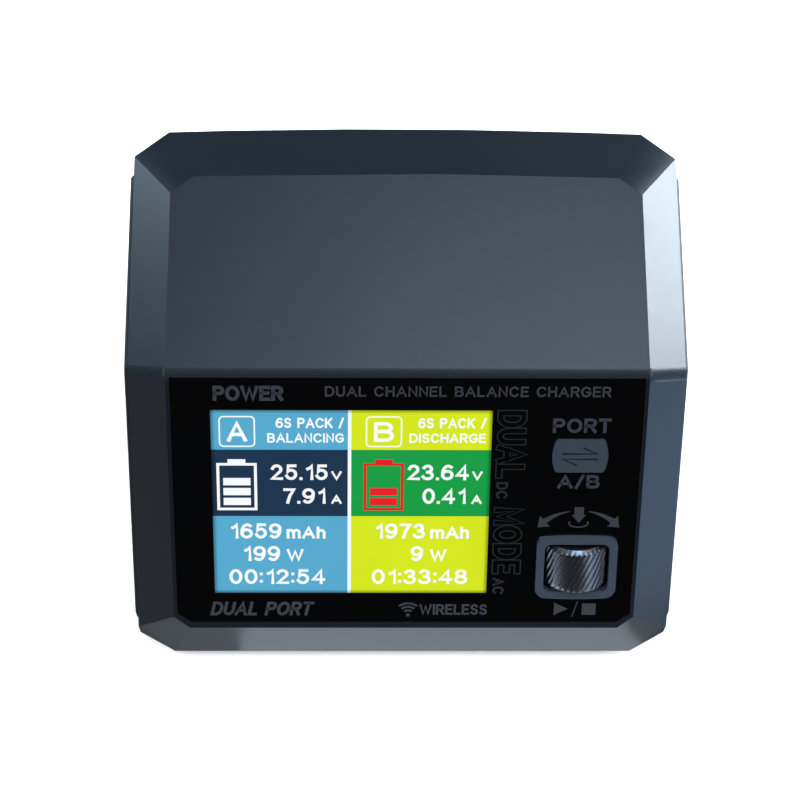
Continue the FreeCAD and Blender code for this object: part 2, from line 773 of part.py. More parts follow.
def build_lower_case():
    tray = new_body("tray")
    pad(tray, "tray_plate", at(z="foot_height"), "parting - foot_height",
        box("-case_half", "case_half", FRONT_Y, "rear_y - rear_bow"))
    for name, place in tray_planes():
        slice_off(tray, "tray_" + name, place)
    top = "(parting + tongue_height)"
    floor = "(foot_height + tray_floor)"
    pocket(tray, "tray_inside", at(z=floor), "parting - foot_height - tray_floor", tray_ring("tongue_width"))
    pad(tray, "tray_tongue", at(z="parting"), "tongue_height", tray_ring(0), tray_ring("tongue_width"))
    pad(tray, "tray_bosses", at(z=floor), f"{top} - {floor}",
        *[circle(x, y, "post_radius") for x, y in POSTS])
    pad(tray, "board_posts", at(z=floor), f"supply_z - {floor}",
        *[circle(x, y, "standoff_radius + 0.5") for x, y in STANDOFFS])
    pocket(tray, "screw_holes", at(z="foot_height"), f"{top} - foot_height",
           *[circle(x, y, "screw_radius + fit_gap") for x, y in POSTS])
    pocket(tray, "head_recesses", at(z="foot_height"), "head_height",
           *[circle(x, y, "screw_head + fit_gap") for x, y in POSTS])
    pocket(tray, "stud_holes", at(z=f"{floor} + 0.5"), f"supply_z - {floor}",
           *[circle(x, y, "stud_radius + stud_gap") for x, y in STANDOFFS])
    feet = [(f"{i} * foot_x", f"{j} * foot_y") for i in (-1, 1) for j in (-1, 1)]
    pocket(tray, "foot_recesses", at(z="foot_height"), "foot_sink",
           *[circle(x, y, "foot_radius + fit_gap") for x, y in feet])
    for end, sign in (("front", -1), ("rear", 1)):
        pocket(tray, f"{end}_vents", at(z="foot_height - 1"), "tray_floor + 2",
               *row_of_slots("vent_pitch", f"{sign} * foot_y", "vent_width", "tray_vent_length"))
    subpart(tray, "lower_case")
    pads = new_body("feet")
    pad(pads, "foot_pads", at(), "foot_height + foot_sink", *[circle(x, y, "foot_radius") for x, y in feet])
    dress(pads, "Fillet", "foot_edges", 0.5, lambda edge: edge.BoundBox.ZMax < 1e-3)
    subpart(pads, "rubber_feet")


def build_case_screws():
    screws = new_body("long_screws")
    head_top = "foot_height + head_height"
    pad(screws, "screw_shanks", at(z=head_top), f"parting + tongue_height + screw_reach - 1 - ({head_top})",
        *[circle(x, y, "screw_radius") for x, y in POSTS])
    pad(screws, "screw_heads", at(z="foot_height"), "head_height",
        *[circle(x, y, "screw_head") for x, y in POSTS])
    pocket(screws, "screw_drives", at(z="foot_height"), "drive_depth",
           *[hexagon(x, y, "drive_radius") for x, y in POSTS])
    subpart(screws, "case_screws")


# ---------------------------------------------------------------------------------------------------------
# Side and rear panels
# ---------------------------------------------------------------------------------------------------------
BOARD_TOP = "(charge_z + board_thick)"
OUTPUT_Z = f"({BOARD_TOP} + output_tall / 2)"
HEADER_Z = f"({BOARD_TOP} + header_tall / 2)"
USB_Z = f"({BOARD_TOP} + usb_tall / 2)"


def build_side_panel(side, sign):
    """A black plate in the hood's side opening, held by a flange inside the wall."""
    panel = new_body(f"plate_{side}")
    outer = "case_half + side_proud"
    inner = "case_half - wall - flange_thick"
    near = inner if sign > 0 else f"-({outer})"
    plate = "case_half - wall" if sign > 0 else f"-({outer})"
    flange = inner if sign > 0 else "-(case_half - wall)"
    pad(panel, f"plate_{side}_face", at(x=plate, turn=FACING_X), "wall + side_proud", side_outline(0))
    face = panel.Shape.BoundBox
    rim = face.XMax if sign > 0 else face.XMin
    dress(panel, "Chamfer", f"plate_{side}_edge", 0.5,
          lambda edge: all(abs(end.X - rim) < 1e-3 for end in edge.Vertexes)
          and edge.BoundBox.ZMax > value("parting") + 1)
    pad(panel, f"plate_{side}_flange", at(x=flange, turn=FACING_X), "flange_thick",
        side_outline("flange_reach"))
    through = "side_proud + wall + flange_thick + 2"
    start = at(x=f"{near} - 1", turn=FACING_X)
    ports = [centred("output_y", OUTPUT_Z, "nose_width", "nose_tall", "2 * fit_gap"),
             centred("header_y", HEADER_Z, "header_width", "header_tall", "2 * fit_gap")]
    if sign > 0:
        ports.append(centred("usb_y", USB_Z, "usb_width", "usb_tall", "2 * fit_gap"))
    pocket(panel, f"plate_{side}_ports", start, through, *ports)
    pocket(panel, f"plate_{side}_vents", start, through,
           *row_of_slots("vent_pitch", "supply_z + vent_rise + vent_height / 2", "vent_width",
                         "vent_height"))
    subpart(panel, f"side_panel_{side}")


FAN_SCREWS = [(f"fan_x + {i} * fan_screw_offset", f"fan_z + {j} * fan_screw_offset")
              for i in (-1, 1) for j in (-1, 1)]


def grille_holes():
    """Round holes in rings over the fan."""
    holes = [circle("fan_x", "fan_z", "grille_hole")]
    for ring in range(1, 5):
        count = 6 * ring
        for index in range(count):
            turn = 360 * index / count
            holes.append(circle(f"fan_x + {ring} * grille_pitch * sin({turn})",
                                f"fan_z + {ring} * grille_pitch * cos({turn})", "grille_hole"))
    return holes


def build_rear_panel():
    panel = new_body("back_plate")
    back = at(y="rear_panel_y", turn=FACING_FRONT)
    pad(panel, "back_plate_face", back, "rear_panel_thick",
        box("-rear_panel_half", "rear_panel_half", "parting", "rear_panel_top"))
    openings = [centred("inlet_x", "inlet_z", "inlet_width", "inlet_tall", "fit_gap"),
                centred("dc_x", "dc_z", "dc_width", "dc_tall", "fit_gap")]
    openings += [circle(x, z, "screw_radius + 2 * fit_gap") for x, z in FAN_SCREWS]
    start = at(y="rear_panel_y + 1", turn=FACING_FRONT)
    pocket(panel, "back_plate_openings", start, "rear_panel_thick + 2", *openings)
    pocket(panel, "fan_grille", start, "rear_panel_thick + 2", *grille_holes())
    subpart(panel, "rear_panel")


# ---------------------------------------------------------------------------------------------------------
# Lens and display, in the panel's frame
# ---------------------------------------------------------------------------------------------------------
LENS_BACK = "(lens_sink + lens_thick)"
GLASS_TOP = f"({LENS_BACK} + gasket_thick)"
GLASS_BACK = f"({GLASS_TOP} + glass_thick)"


def panel_body(label):
    body = new_body(label)
    body.setExpression("Placement", formula(on_panel()))
    return body


def below(depth):
    """A plane parallel to the panel, a depth below its face, in the panel's frame."""
    return at(z=f"-({depth})")


def button_outline(gap=0):
    return pillow("button_x", "button_v", f"button_width + 2 * ({gap})", f"button_tall + 2 * ({gap})",
                  "button_bulge", True)


def bezel_outline(gap=0):
    return pillow("wheel_x", "wheel_v", f"bezel_width + 2 * ({gap})", f"bezel_tall + 2 * ({gap})",
                  "bezel_bulge", False)


def build_lens():
    lens = panel_body("lens")
    pad(lens, "lens_plate", below(LENS_BACK), "lens_thick", lens_outline("lens_gap"))
    pocket(lens, "lens_button_hole", below(f"{LENS_BACK} + 1"), "lens_thick + 2",
           button_outline("button_gap"))
    pocket(lens, "lens_wheel_hole", below(f"{LENS_BACK} + 1"), "lens_thick + 2", bezel_outline("lens_gap"))
    subpart(lens, "front_lens")
    tape = panel_body("tape")
    pad(tape, "tape_sheet", below(f"{LENS_BACK} + tape_thick"), "tape_thick", lens_outline("2 * lens_gap"))
    pocket(tape, "tape_windows", below(f"{LENS_BACK} + tape_thick + 1"), "tape_thick + 2",
           centred("screen_x", "screen_v", "glass_width", "glass_tall", 0.3),
           centred("button_x", "button_v", "button_width", "button_tall", "button_flange + 0.4"),
           centred("wheel_x", "wheel_v", "bezel_width", "bezel_tall", "bezel_flange + 0.2"))
    subpart(tape, "lens_tape")


def build_display():
    outline = ("screen_x", "screen_v", "glass_width", "glass_tall")
    gasket = panel_body("gasket")
    pad(gasket, "gasket_ring", below(GLASS_TOP), "gasket_thick", centred(*outline, -0.2),
        centred(*outline, "-0.2 - gasket_width"))
    subpart(gasket, "display_gasket")
    glass = panel_body("glass")
    pad(glass, "glass_plate", below(GLASS_BACK), "glass_thick", centred(*outline))
    subpart(glass, "display_glass")
    light = panel_body("backlight")
    pad(light, "backlight_tray", below("board_depth"), f"board_depth - {GLASS_BACK}", centred(*outline))
    pocket(light, "backlight_pocket", below("board_depth + 1"), 2, centred(*outline, -1.2))
    subpart(light, "display_frame")
    flex = panel_body("flex")
    edge = "(screen_v - glass_tall / 2)"
    low, high = "screen_x - flex_width / 2", "screen_x + flex_width / 2"
    pad(flex, "flex_drop", below("board_depth"), f"board_depth - {GLASS_TOP} - 0.3",
        box(low, high, f"{edge} - flex_thick", edge))
    pad(flex, "flex_foot", below("board_depth"), "flex_thick",
        box(low, high, f"{edge} - 10 * flex_thick", f"{edge} - flex_thick / 2"))
    subpart(flex, "display_flex")


def build_control_board():
    board = panel_body("panel_board")
    back = below("board_depth + board_thick")
    pad(board, "panel_board_plate", back, "board_thick",
        box("-control_half", "control_half", "control_low", "control_top"))
    start = below("board_depth + board_thick + 1")
    pocket(board, "panel_board_holes", start, "board_thick + 2",
           centred("wheel_x", "wheel_v", "2 * wheel_radius", "wheel_width", 0.7),
           *[circle(x, v, "ui_screw + fit_gap") for x, v in UI_SCREWS])
    subpart(board, "ui_board")
    screws = panel_body("short_screws")
    pad(screws, "short_shanks", back, "board_thick + 2.6", *[circle(x, v, "ui_screw") for x, v in UI_SCREWS])
    pad(screws, "short_heads", below("board_depth + board_thick + ui_screw"), "ui_screw",
        *[circle(x, v, "2 * ui_screw") for x, v in UI_SCREWS])
    subpart(screws, "ui_screws")


# ---------------------------------------------------------------------------------------------------------
# Channel button and wheel
# ---------------------------------------------------------------------------------------------------------
FLANGE_TOP = f"({LENS_BACK} + 0.05)"
FLANGE_LOW = f"({FLANGE_TOP} + 0.85)"


def build_switch(label, x, v, size, tall, stem, depth):
    """A square switch on the control board, with a bore for its plunger."""
    switch = panel_body(f"{label}_body")
    pad(switch, f"{label}_block", below("board_depth"), tall, centred(x, v, size, size))
    pocket(switch, f"{label}_bore", below(f"board_depth - ({tall}) + {depth}"), depth,
           circle(x, v, f"{stem} + plunger_gap"))
    subpart(switch, label)


def build_plunger(label, x, v, stem, top, low):
    plunger = panel_body(f"{label}_body")
    pad(plunger, f"{label}_stem", below(low), f"{low} - ({top})", circle(x, v, stem))
    subpart(plunger, label)


def build_button():
    button = panel_body("button")
    pad(button, "button_cap", below(FLANGE_LOW), f"{FLANGE_LOW} + button_proud", button_outline())
    dress(button, "Fillet", "button_corners", "button_corner", upright_edges)
    pad(button, "button_flange_plate", below(FLANGE_LOW), f"{FLANGE_LOW} - {FLANGE_TOP}",
        centred("button_x", "button_v", "button_width", "button_tall", "button_flange"))
    subpart(button, "port_button")
    top = "(board_depth - button_switch_tall)"
    build_switch("button_switch", "button_x", "button_v", "button_switch_size", "button_switch_tall",
                 "plunger_radius", "button_travel + 1")
    build_plunger("button_plunger", "button_x", "button_v", "plunger_radius", FLANGE_LOW, f"({top} + 0.8)")


def build_wheel_bezel():
    bezel = panel_body("ring")
    pad(bezel, "ring_top", below(FLANGE_TOP), f"{FLANGE_TOP} + bezel_proud", bezel_outline())
    dress(bezel, "Fillet", "ring_corners", "bezel_corner", upright_edges)
    pad(bezel, "ring_housing", below("board_depth"), f"board_depth - {FLANGE_TOP}",
        centred("wheel_x", "wheel_v", "bezel_width", "bezel_tall", "bezel_flange"))
    pocket(bezel, "ring_slot", below("ring_depth + 2"), "ring_depth + bezel_proud + 3",
           centred("wheel_x", "wheel_v", "slot_width", "slot_tall"))
    dress(bezel, "Fillet", "slot_corners", "slot_corner",
          lambda edge: upright_edges(edge) and abs(abs(edge.Vertexes[0].X - value("wheel_x"))
                                                   - value("slot_width / 2")) < 1e-3
          and abs(abs(edge.Vertexes[0].Y - value("wheel_v")) - value("slot_tall / 2")) < 1e-3)
    pocket(bezel, "ring_inside", below("board_depth + 1"), "board_depth + 1 - ring_depth",
           centred("wheel_x", "wheel_v", "carrier_width", "carrier_tall", "carrier_gap"))
    pocket(bezel, "lug_notch", below("board_depth + 1"), "board_depth + 1 - lug_top + 0.4",
           centred("wheel_x - bezel_width / 2", "wheel_v", 4, "lug_width", 0.5))
    subpart(bezel, "wheel_bezel")


def build_wheel():
    """The wheel on its axle, in a frame that slides inwards when the wheel is pressed."""
    carrier = panel_body("carrier")
    low = "(carrier_top + carrier_thick)"
    room = ("wheel_x", "wheel_v", "carrier_width - 2 * carrier_wall", "wheel_width + 0.5")
    pad(carrier, "carrier_frame", below(low), "carrier_thick",
        centred("wheel_x", "wheel_v", "carrier_width", "carrier_tall"), centred(*room))
    pad(carrier, "carrier_lug", below("lug_top + lug_thick"), "lug_thick",
        box("wheel_x + switch_offset - press_radius - 0.2", "wheel_x - carrier_width / 2 + carrier_wall / 2",
            "wheel_v - lug_width / 2", "wheel_v + lug_width / 2"))
    along = at("wheel_x", "wheel_v - carrier_tall / 2 - 1", "-wheel_depth", ALONG_Y)
    pocket(carrier, "carrier_bore", along, "carrier_tall + 2", circle(0, 0, "axle_radius"))
    subpart(carrier, "wheel_carrier")

    axle = new_body("pin")
    axle.setExpression("Placement", formula(on_panel("wheel_x", "wheel_v", "-wheel_depth", ALONG_Y)))
    pad(axle, "pin_rod", at(z="-carrier_tall / 2"), "carrier_tall", circle(0, 0, "axle_radius"))
    subpart(axle, "wheel_axle")

    wheel = new_body("knob")
    wheel.setExpression("Placement", formula(on_panel("wheel_x", "wheel_v", "-wheel_depth", ALONG_Y)))
    pad(wheel, "knob_disc", at(z="-wheel_width / 2"), "wheel_width", circle(0, 0, "wheel_radius"))
    dress(wheel, "Chamfer", "knob_edges", "wheel_chamfer", lambda edge: edge.Closed)
    pocket(wheel, "knob_bore", at(z="-wheel_width / 2 - 1"), "wheel_width + 2",
           circle(0, 0, "axle_radius + axle_gap"))
    pocket(wheel, "knob_recess", at(z="wheel_width / 2 - encoder_thick + 0.1"), "encoder_thick + 1",
           circle(0, 0, "encoder_radius + carrier_gap"))
    subpart(wheel, "thumbwheel")

    ring = new_body("sensor")
    ring.setExpression("Placement", formula(on_panel("wheel_x", "wheel_v", "-wheel_depth", ALONG_Y)))
    pad(ring, "sensor_ring", at(z="wheel_width / 2 + 0.25 - encoder_thick"), "encoder_thick",
        circle(0, 0, "encoder_radius"), circle(0, 0, "axle_radius"))
    subpart(ring, "encoder")

    spot = ("wheel_x + switch_offset", "wheel_v")
    build_switch("wheel_switch", *spot, "switch_size", "switch_tall", "press_radius", "wheel_travel + 0.8")
    build_plunger("wheel_plunger", *spot, "press_radius", "(lug_top + lug_thick)",
                  "(board_depth - switch_tall + 0.7)")


# ---------------------------------------------------------------------------------------------------------
# Circuit boards and what stands on them
# ---------------------------------------------------------------------------------------------------------
SUPPLY_TOP = "(supply_z + board_thick)"


def build_board(label, half, front, rear, low, holes):
    board = new_body(f"{label}_plate")
    pad(board, f"{label}_sheet", at(z=low), "board_thick", box(f"-{half}", half, front, rear))
    pocket(board, f"{label}_holes", at(z=f"{low} - 1"), "board_thick + 2", *holes)
    subpart(board, label)


def build_boards():
    studs = [circle(x, y, "stud_radius + stud_gap") for x, y in STANDOFFS]
    build_board("psu_board", "supply_half", "supply_front", "supply_rear", "supply_z", studs)
    build_board("charger_board", "charge_half", "charge_front", "charge_rear", "charge_z", studs)
    sheet_body = new_body("fishpaper")
    pad(sheet_body, "fishpaper_sheet", at(z="foot_height + tray_floor"), 0.4,
        box("-supply_half + 10", "supply_half - 10", "supply_front + 6", "supply_rear - 3"))
    subpart(sheet_body, "insulator_sheet")

    pillars = new_body("pillars")
    pad(pillars, "pillar_hexes", at(z=SUPPLY_TOP), f"charge_z - {SUPPLY_TOP}",
        *[hexagon(x, y, "standoff_radius") for x, y in STANDOFFS])
    pad(pillars, "pillar_studs", at(z="foot_height + tray_floor + 0.6"),
        f"{SUPPLY_TOP} - foot_height - tray_floor", *[circle(x, y, "stud_radius") for x, y in STANDOFFS])
    pocket(pillars, "pillar_bores", at(z="charge_z - 6"), 7,
           *[circle(x, y, "stud_radius + stud_gap") for x, y in STANDOFFS])
    subpart(pillars, "board_standoffs")
    screws = new_body("machine_screws")
    pad(screws, "machine_shanks", at(z="charge_z - 5"), "board_thick + 5",
        *[circle(x, y, "stud_radius") for x, y in STANDOFFS])
    pad(screws, "machine_heads", at(z=BOARD_TOP), "head_height",
        *[circle(x, y, "screw_head") for x, y in STANDOFFS])
    subpart(screws, "board_screws")


def build_sockets():
    """Battery sockets and balance headers, one of each on either side."""
    contacts = []
    pins = []
    end = "(case_half + 0.2)"
    for side, sign in SIDES:
        direction = ALONG_X if sign > 0 else "rotation(vector(0; 1; 0); -90)"
        socket = new_body(f"socket_{side}")
        socket.setExpression("Placement", formula(at(0, "output_y", OUTPUT_Z, SIDE_TURN[side])))
        pad(socket, f"socket_{side}_body", at(x=f"{end} - output_start", turn=FACING_X), "output_body",
            centred(0, 0, "output_width", "output_tall"))
        pad(socket, f"socket_{side}_nose", at(x=f"{end} - output_start", turn=FACING_X), "output_start",
            polygon(("-nose_width / 2", "-nose_tall / 2"), ("nose_width / 2 - 1.6", "-nose_tall / 2"),
                    ("nose_width / 2", "-nose_tall / 2 + 1.6"), ("nose_width / 2", "nose_tall / 2 - 1.6"),
                    ("nose_width / 2 - 1.6", "nose_tall / 2"), ("-nose_width / 2", "nose_tall / 2")))
        pocket(socket, f"socket_{side}_bores", at(x=f"{end} - contact_length", turn=FACING_X), 30,
               *[circle(f"{i} * pin_spacing / 2", 0, "pin_radius + 0.5") for i in (-1, 1)])
        subpart(socket, f"output_socket_{side}")
        for offset in (-1, 1):
            base = (f"{sign} * ({end} - contact_length)", f"output_y + {offset} * pin_spacing / 2", OUTPUT_Z)
            contacts.append(tube(f"contact_{side}_{offset + 1}", base, "pin_radius + 0.5", "pin_radius",
                                 "contact_length - 0.5", direction))
        header = new_body(f"header_{side}")
        header.setExpression("Placement", formula(at(0, "header_y", HEADER_Z, SIDE_TURN[side])))
        pad(header, f"header_{side}_body", at(x=f"{end} - header_length", turn=FACING_X), "header_length",
            centred(0, 0, "header_width", "header_tall"))
        pocket(header, f"header_{side}_mouth", at(x=f"{end} - header_depth", turn=FACING_X), 20,
               centred(0, 0, "header_width", "header_tall", "-header_wall"))
        pocket(header, f"header_{side}_keys", at(x=f"{end} - header_depth", turn=FACING_X), 20,
               *[box(f"{i} * header_width / 4 - 1", f"{i} * header_width / 4 + 1", "0", "header_tall")
                 for i in (-1, 1)])
        subpart(header, f"balance_header_{side}")
        for index in range(7):
            low = f"{end} - header_depth" if sign > 0 else f"-({end} - 1)"
            corner = (low, f"header_y + {index - 3} * header_pitch - 0.32", f"{HEADER_Z} - 0.32")
            pins.append(block(f"pin_{side}_{index}", corner, ("header_depth - 1", 0.64, 0.64)))
    subpart(join("contacts", *contacts), "output_contacts")
    subpart(join("pins", *pins), "balance_pins")
    shell = new_body("usb_shell")
    shell.setExpression("Placement", formula(at(0, "usb_y", USB_Z, SIDE_TURN["right"])))
    pad(shell, "usb_shell_block", at(x=f"{end} - usb_length", turn=FACING_X), "usb_length",
        centred(0, 0, "usb_width", "usb_tall"))
    dress(shell, "Fillet", "usb_shell_round", "usb_tall / 2 - 0.1",
          lambda edge: abs(edge.BoundBox.XLength - value("usb_length")) < 1e-3)
    pocket(shell, "usb_mouth", at(x=f"{end} - usb_length + 1", turn=FACING_X), 20,
           centred(0, 0, "usb_width", "usb_tall", -0.35))
    subpart(shell, "usb_socket")
    subpart(block("usb_tab", (f"{end} - usb_length + 1", "usb_y - usb_width / 2 + 1.3", f"{USB_Z} - 0.35"),
                  ("usb_length - 2", "usb_width - 2.6", 0.7)), "usb_tongue")


def build_charge_parts():
    coils = []
    cans = []
    for side, sign in SIDES:
        coils.append(tube(f"coil_{side}", (f"{sign} * coil_x", "coil_y", BOARD_TOP), "coil_radius",
                          "coil_bore", "coil_tall"))
        for index in range(3):
            base = (f"{sign} * can_x", f"can_y + {index} * can_pitch", BOARD_TOP)
            cans.append(rod(f"can_{side}_{index}", base, "can_radius", "can_tall"))
    subpart(join("coils", *coils), "power_inductors")
    subpart(join("cans", *cans), "output_capacitors")
    sink = new_body("sink")
    fins = 9
    pad(sink, "sink_plate", at(z=BOARD_TOP), "sink_base",
        box("-sink_half", "sink_half", "sink_front", "sink_rear"))
    starts = [f"-sink_half + {index} * (2 * sink_half - fin_thick) / {fins - 1}" for index in range(fins)]
    pad(sink, "sink_fins", at(z=f"{BOARD_TOP} + sink_base"), "sink_tall - sink_base",
        *[box(start, f"{start} + fin_thick", "sink_front", "sink_rear") for start in starts])
    subpart(sink, "charger_heatsink")
    subpart(rod("beeper", ("buzzer_x", "buzzer_y", BOARD_TOP), "buzzer_radius", "buzzer_tall"), "buzzer")
    subpart(block("radio", ("radio_x", "radio_y", BOARD_TOP), ("radio_width", "radio_depth", "radio_tall")),
            "wireless_module")
    subpart(block("link", ("link_x", "link_y", SUPPLY_TOP),
                  ("link_width", "link_depth", f"charge_z - {SUPPLY_TOP}")), "board_link")


def build_supply_parts():
    top = SUPPLY_TOP
    window_tall = "(core_tall - 2 * core_yoke)"
    core = block("core_block", ("core_x - core_half", "core_y - core_depth / 2", top),
                 ("2 * core_half", "core_depth", "core_tall"))
    windows = [block(f"core_window_{index}", (start, "core_y - core_depth / 2 - 1", f"{top} + core_yoke"),
                     ("core_half - core_yoke - core_leg", "core_depth + 2", window_tall))
               for index, start in enumerate(("core_x - core_half + core_yoke", "core_x + core_leg"))]
    subpart(cut("core", core, *windows), "transformer_core")
    coil_half = "(core_half - core_yoke - winding_gap)"
    corner = (f"core_x - {coil_half}", "core_y - winding_depth / 2", f"{top} + core_yoke")
    wound = block("winding_block", corner, (f"2 * {coil_half}", "winding_depth", f"{window_tall} - 0.2"))
    leg = block("winding_leg", ("core_x - core_leg - 0.1", "core_y - core_depth / 2 - 0.1", top),
                ("2 * core_leg + 0.2", "core_depth + 0.2", "core_tall"))
    subpart(cut("winding", wound, leg), "transformer_winding")
    bulk = [rod(f"bulk_{index}", (x, "bulk_y", f"{top} + bulk_radius"), "bulk_radius", "bulk_length",
                ALONG_Y) for index, x in enumerate(("bulk_high_x", "bulk_low_x"))]
    subpart(join("bulk", *bulk), "bulk_capacitors")
    choke = tube("choke", ("choke_x", "choke_y", top), "choke_radius", "choke_bore", "choke_tall")
    subpart(choke, "emi_choke")
    subpart(block("film", ("film_x", "film_y", top), ("film_width", "film_depth", "film_tall")),
            "line_capacitor")
    plates = [block("plate_a", ("plate_x", "plate_y", top), ("plate_thick", "plate_depth", "plate_tall")),
              block("plate_b", ("plate_x + plate_pitch", "plate_y + 4", top),
                    ("plate_thick", "plate_depth - 8", "plate_tall"))]
    subpart(join("plates", *plates), "psu_heatsinks")


# ---------------------------------------------------------------------------------------------------------
# Rear fittings
# ---------------------------------------------------------------------------------------------------------
def mouth_outline(grow=0):
    """The mains inlet's mouth, with its two upper corners cut, about its own middle."""
    half = f"(inlet_mouth_width / 2 + ({grow}))"
    tall = f"(inlet_mouth_tall / 2 + ({grow}))"
    shoulder = f"{tall} - 4"
    return polygon((f"-{half}", f"-{tall}"), (half, f"-{tall}"), (half, shoulder), (f"{half} - 4", tall),
                   (f"4 - {half}", tall), (f"-{half}", shoulder))


BLADES = ((-7, -2), (0, 2), (7, -2))


def build_inlets():
    inlet = new_body("mains")
    inlet.setExpression("Placement", formula(at("inlet_x", "rear_panel_y", "inlet_z", FACING_REAR)))
    pad(inlet, "mains_flange", at(), 2, centred(0, 0, "inlet_flange_width", "inlet_flange_tall"))
    dress(inlet, "Fillet", "mains_corners", 2, upright_edges)
    pad(inlet, "mains_body", at(z="-inlet_depth"), "inlet_depth",
        centred(0, 0, "inlet_width", "inlet_tall"))
    pocket(inlet, "mains_mouth", at(z="2 - inlet_depth"), "inlet_depth + 1", mouth_outline())
    pocket(inlet, "mains_slots", at(z="-inlet_depth - 1"), 5, *[centred(x, z, 2, 4) for x, z in BLADES])
    subpart(inlet, "ac_inlet")
    blades = new_body("blades")
    blades.setExpression("Placement", formula(at("inlet_x", "rear_panel_y", "inlet_z", FACING_REAR)))
    pad(blades, "blade_rods", at(z="-inlet_depth - blade_tail"), "inlet_depth + blade_tail",
        *[centred(x, z, 2, 4) for x, z in BLADES])
    subpart(blades, "ac_inlet_pins")

    plug = new_body("dc")
    plug.setExpression("Placement", formula(at("dc_x", "rear_panel_y", "dc_z", FACING_REAR)))
    pad(plug, "dc_shroud", at(z="-dc_depth"), "dc_depth + 1.5", centred(0, 0, "dc_width", "dc_tall"))
    pad(plug, "dc_flange", at(z="-rear_panel_thick - 1.5"), 1.5, centred(0, 0, "dc_width", "dc_tall", 2))
    pocket(plug, "dc_mouth", at(z="2 - dc_depth"), "dc_depth",
           centred(0, 0, "dc_width", "dc_tall", "-dc_wall"))
    pocket(plug, "dc_bores", at(z="-dc_depth - 1"), 4,
           *[circle(f"{i} * pin_spacing / 2", 0, "pin_radius") for i in (-1, 1)])
    subpart(plug, "dc_inlet")
    prongs = new_body("prongs")
    prongs.setExpression("Placement", formula(at("dc_x", "rear_panel_y", "dc_z", FACING_REAR)))
    pad(prongs, "prong_rods", at(z="-dc_depth"), "dc_depth + 0.8",
        *[circle(f"{i} * pin_spacing / 2", 0, "pin_radius") for i in (-1, 1)])
    subpart(prongs, "dc_inlet_pins")


def lead(x, start_y, start_z, radius):
    """A lead that leaves a terminal forwards and turns down to the supply board."""
    bend = value("lead_bend")
    turn_y = value("lead_y")
    floor = value(SUPPLY_TOP)
    start = Vector(x, start_y, start_z)
    corner = Vector(x, turn_y + bend, start_z)
    middle = Vector(x, turn_y + bend - bend * 0.5 ** 0.5, start_z - bend + bend * 0.5 ** 0.5)
    after = Vector(x, turn_y, start_z - bend)
    path = Part.Wire([Part.LineSegment(start, corner).toShape(), Part.Arc(corner, middle, after).toShape(),
                      Part.LineSegment(after, Vector(x, turn_y, floor)).toShape()])
    profile = Part.Wire([Part.Circle(start, Vector(0, -1, 0), radius).toShape()])
    return path.makePipeShell([profile], True, False)


def build_leads():
    inlet_x, inlet_z, dc_x, dc_z = [value(name) for name in ("inlet_x", "inlet_z", "dc_x", "dc_z")]
    tail_y = value("rear_panel_y - inlet_depth - blade_tail")
    mains = [lead(inlet_x + x, tail_y, inlet_z + z, value("lead_radius")) for x, z in BLADES if x]
    back_y = value("rear_panel_y - dc_depth")
    reach = value("pin_spacing / 2")
    supply = [lead(dc_x + i * reach, back_y, dc_z, value("lead_radius + 0.2")) for i in (-1, 1)]
    for label, tubes in (("ac_leads", mains), ("dc_leads", supply)):
        piece = document.addObject("Part::Feature", label)
        piece.Shape = Part.makeCompound(tubes)
        subpart(piece, label)


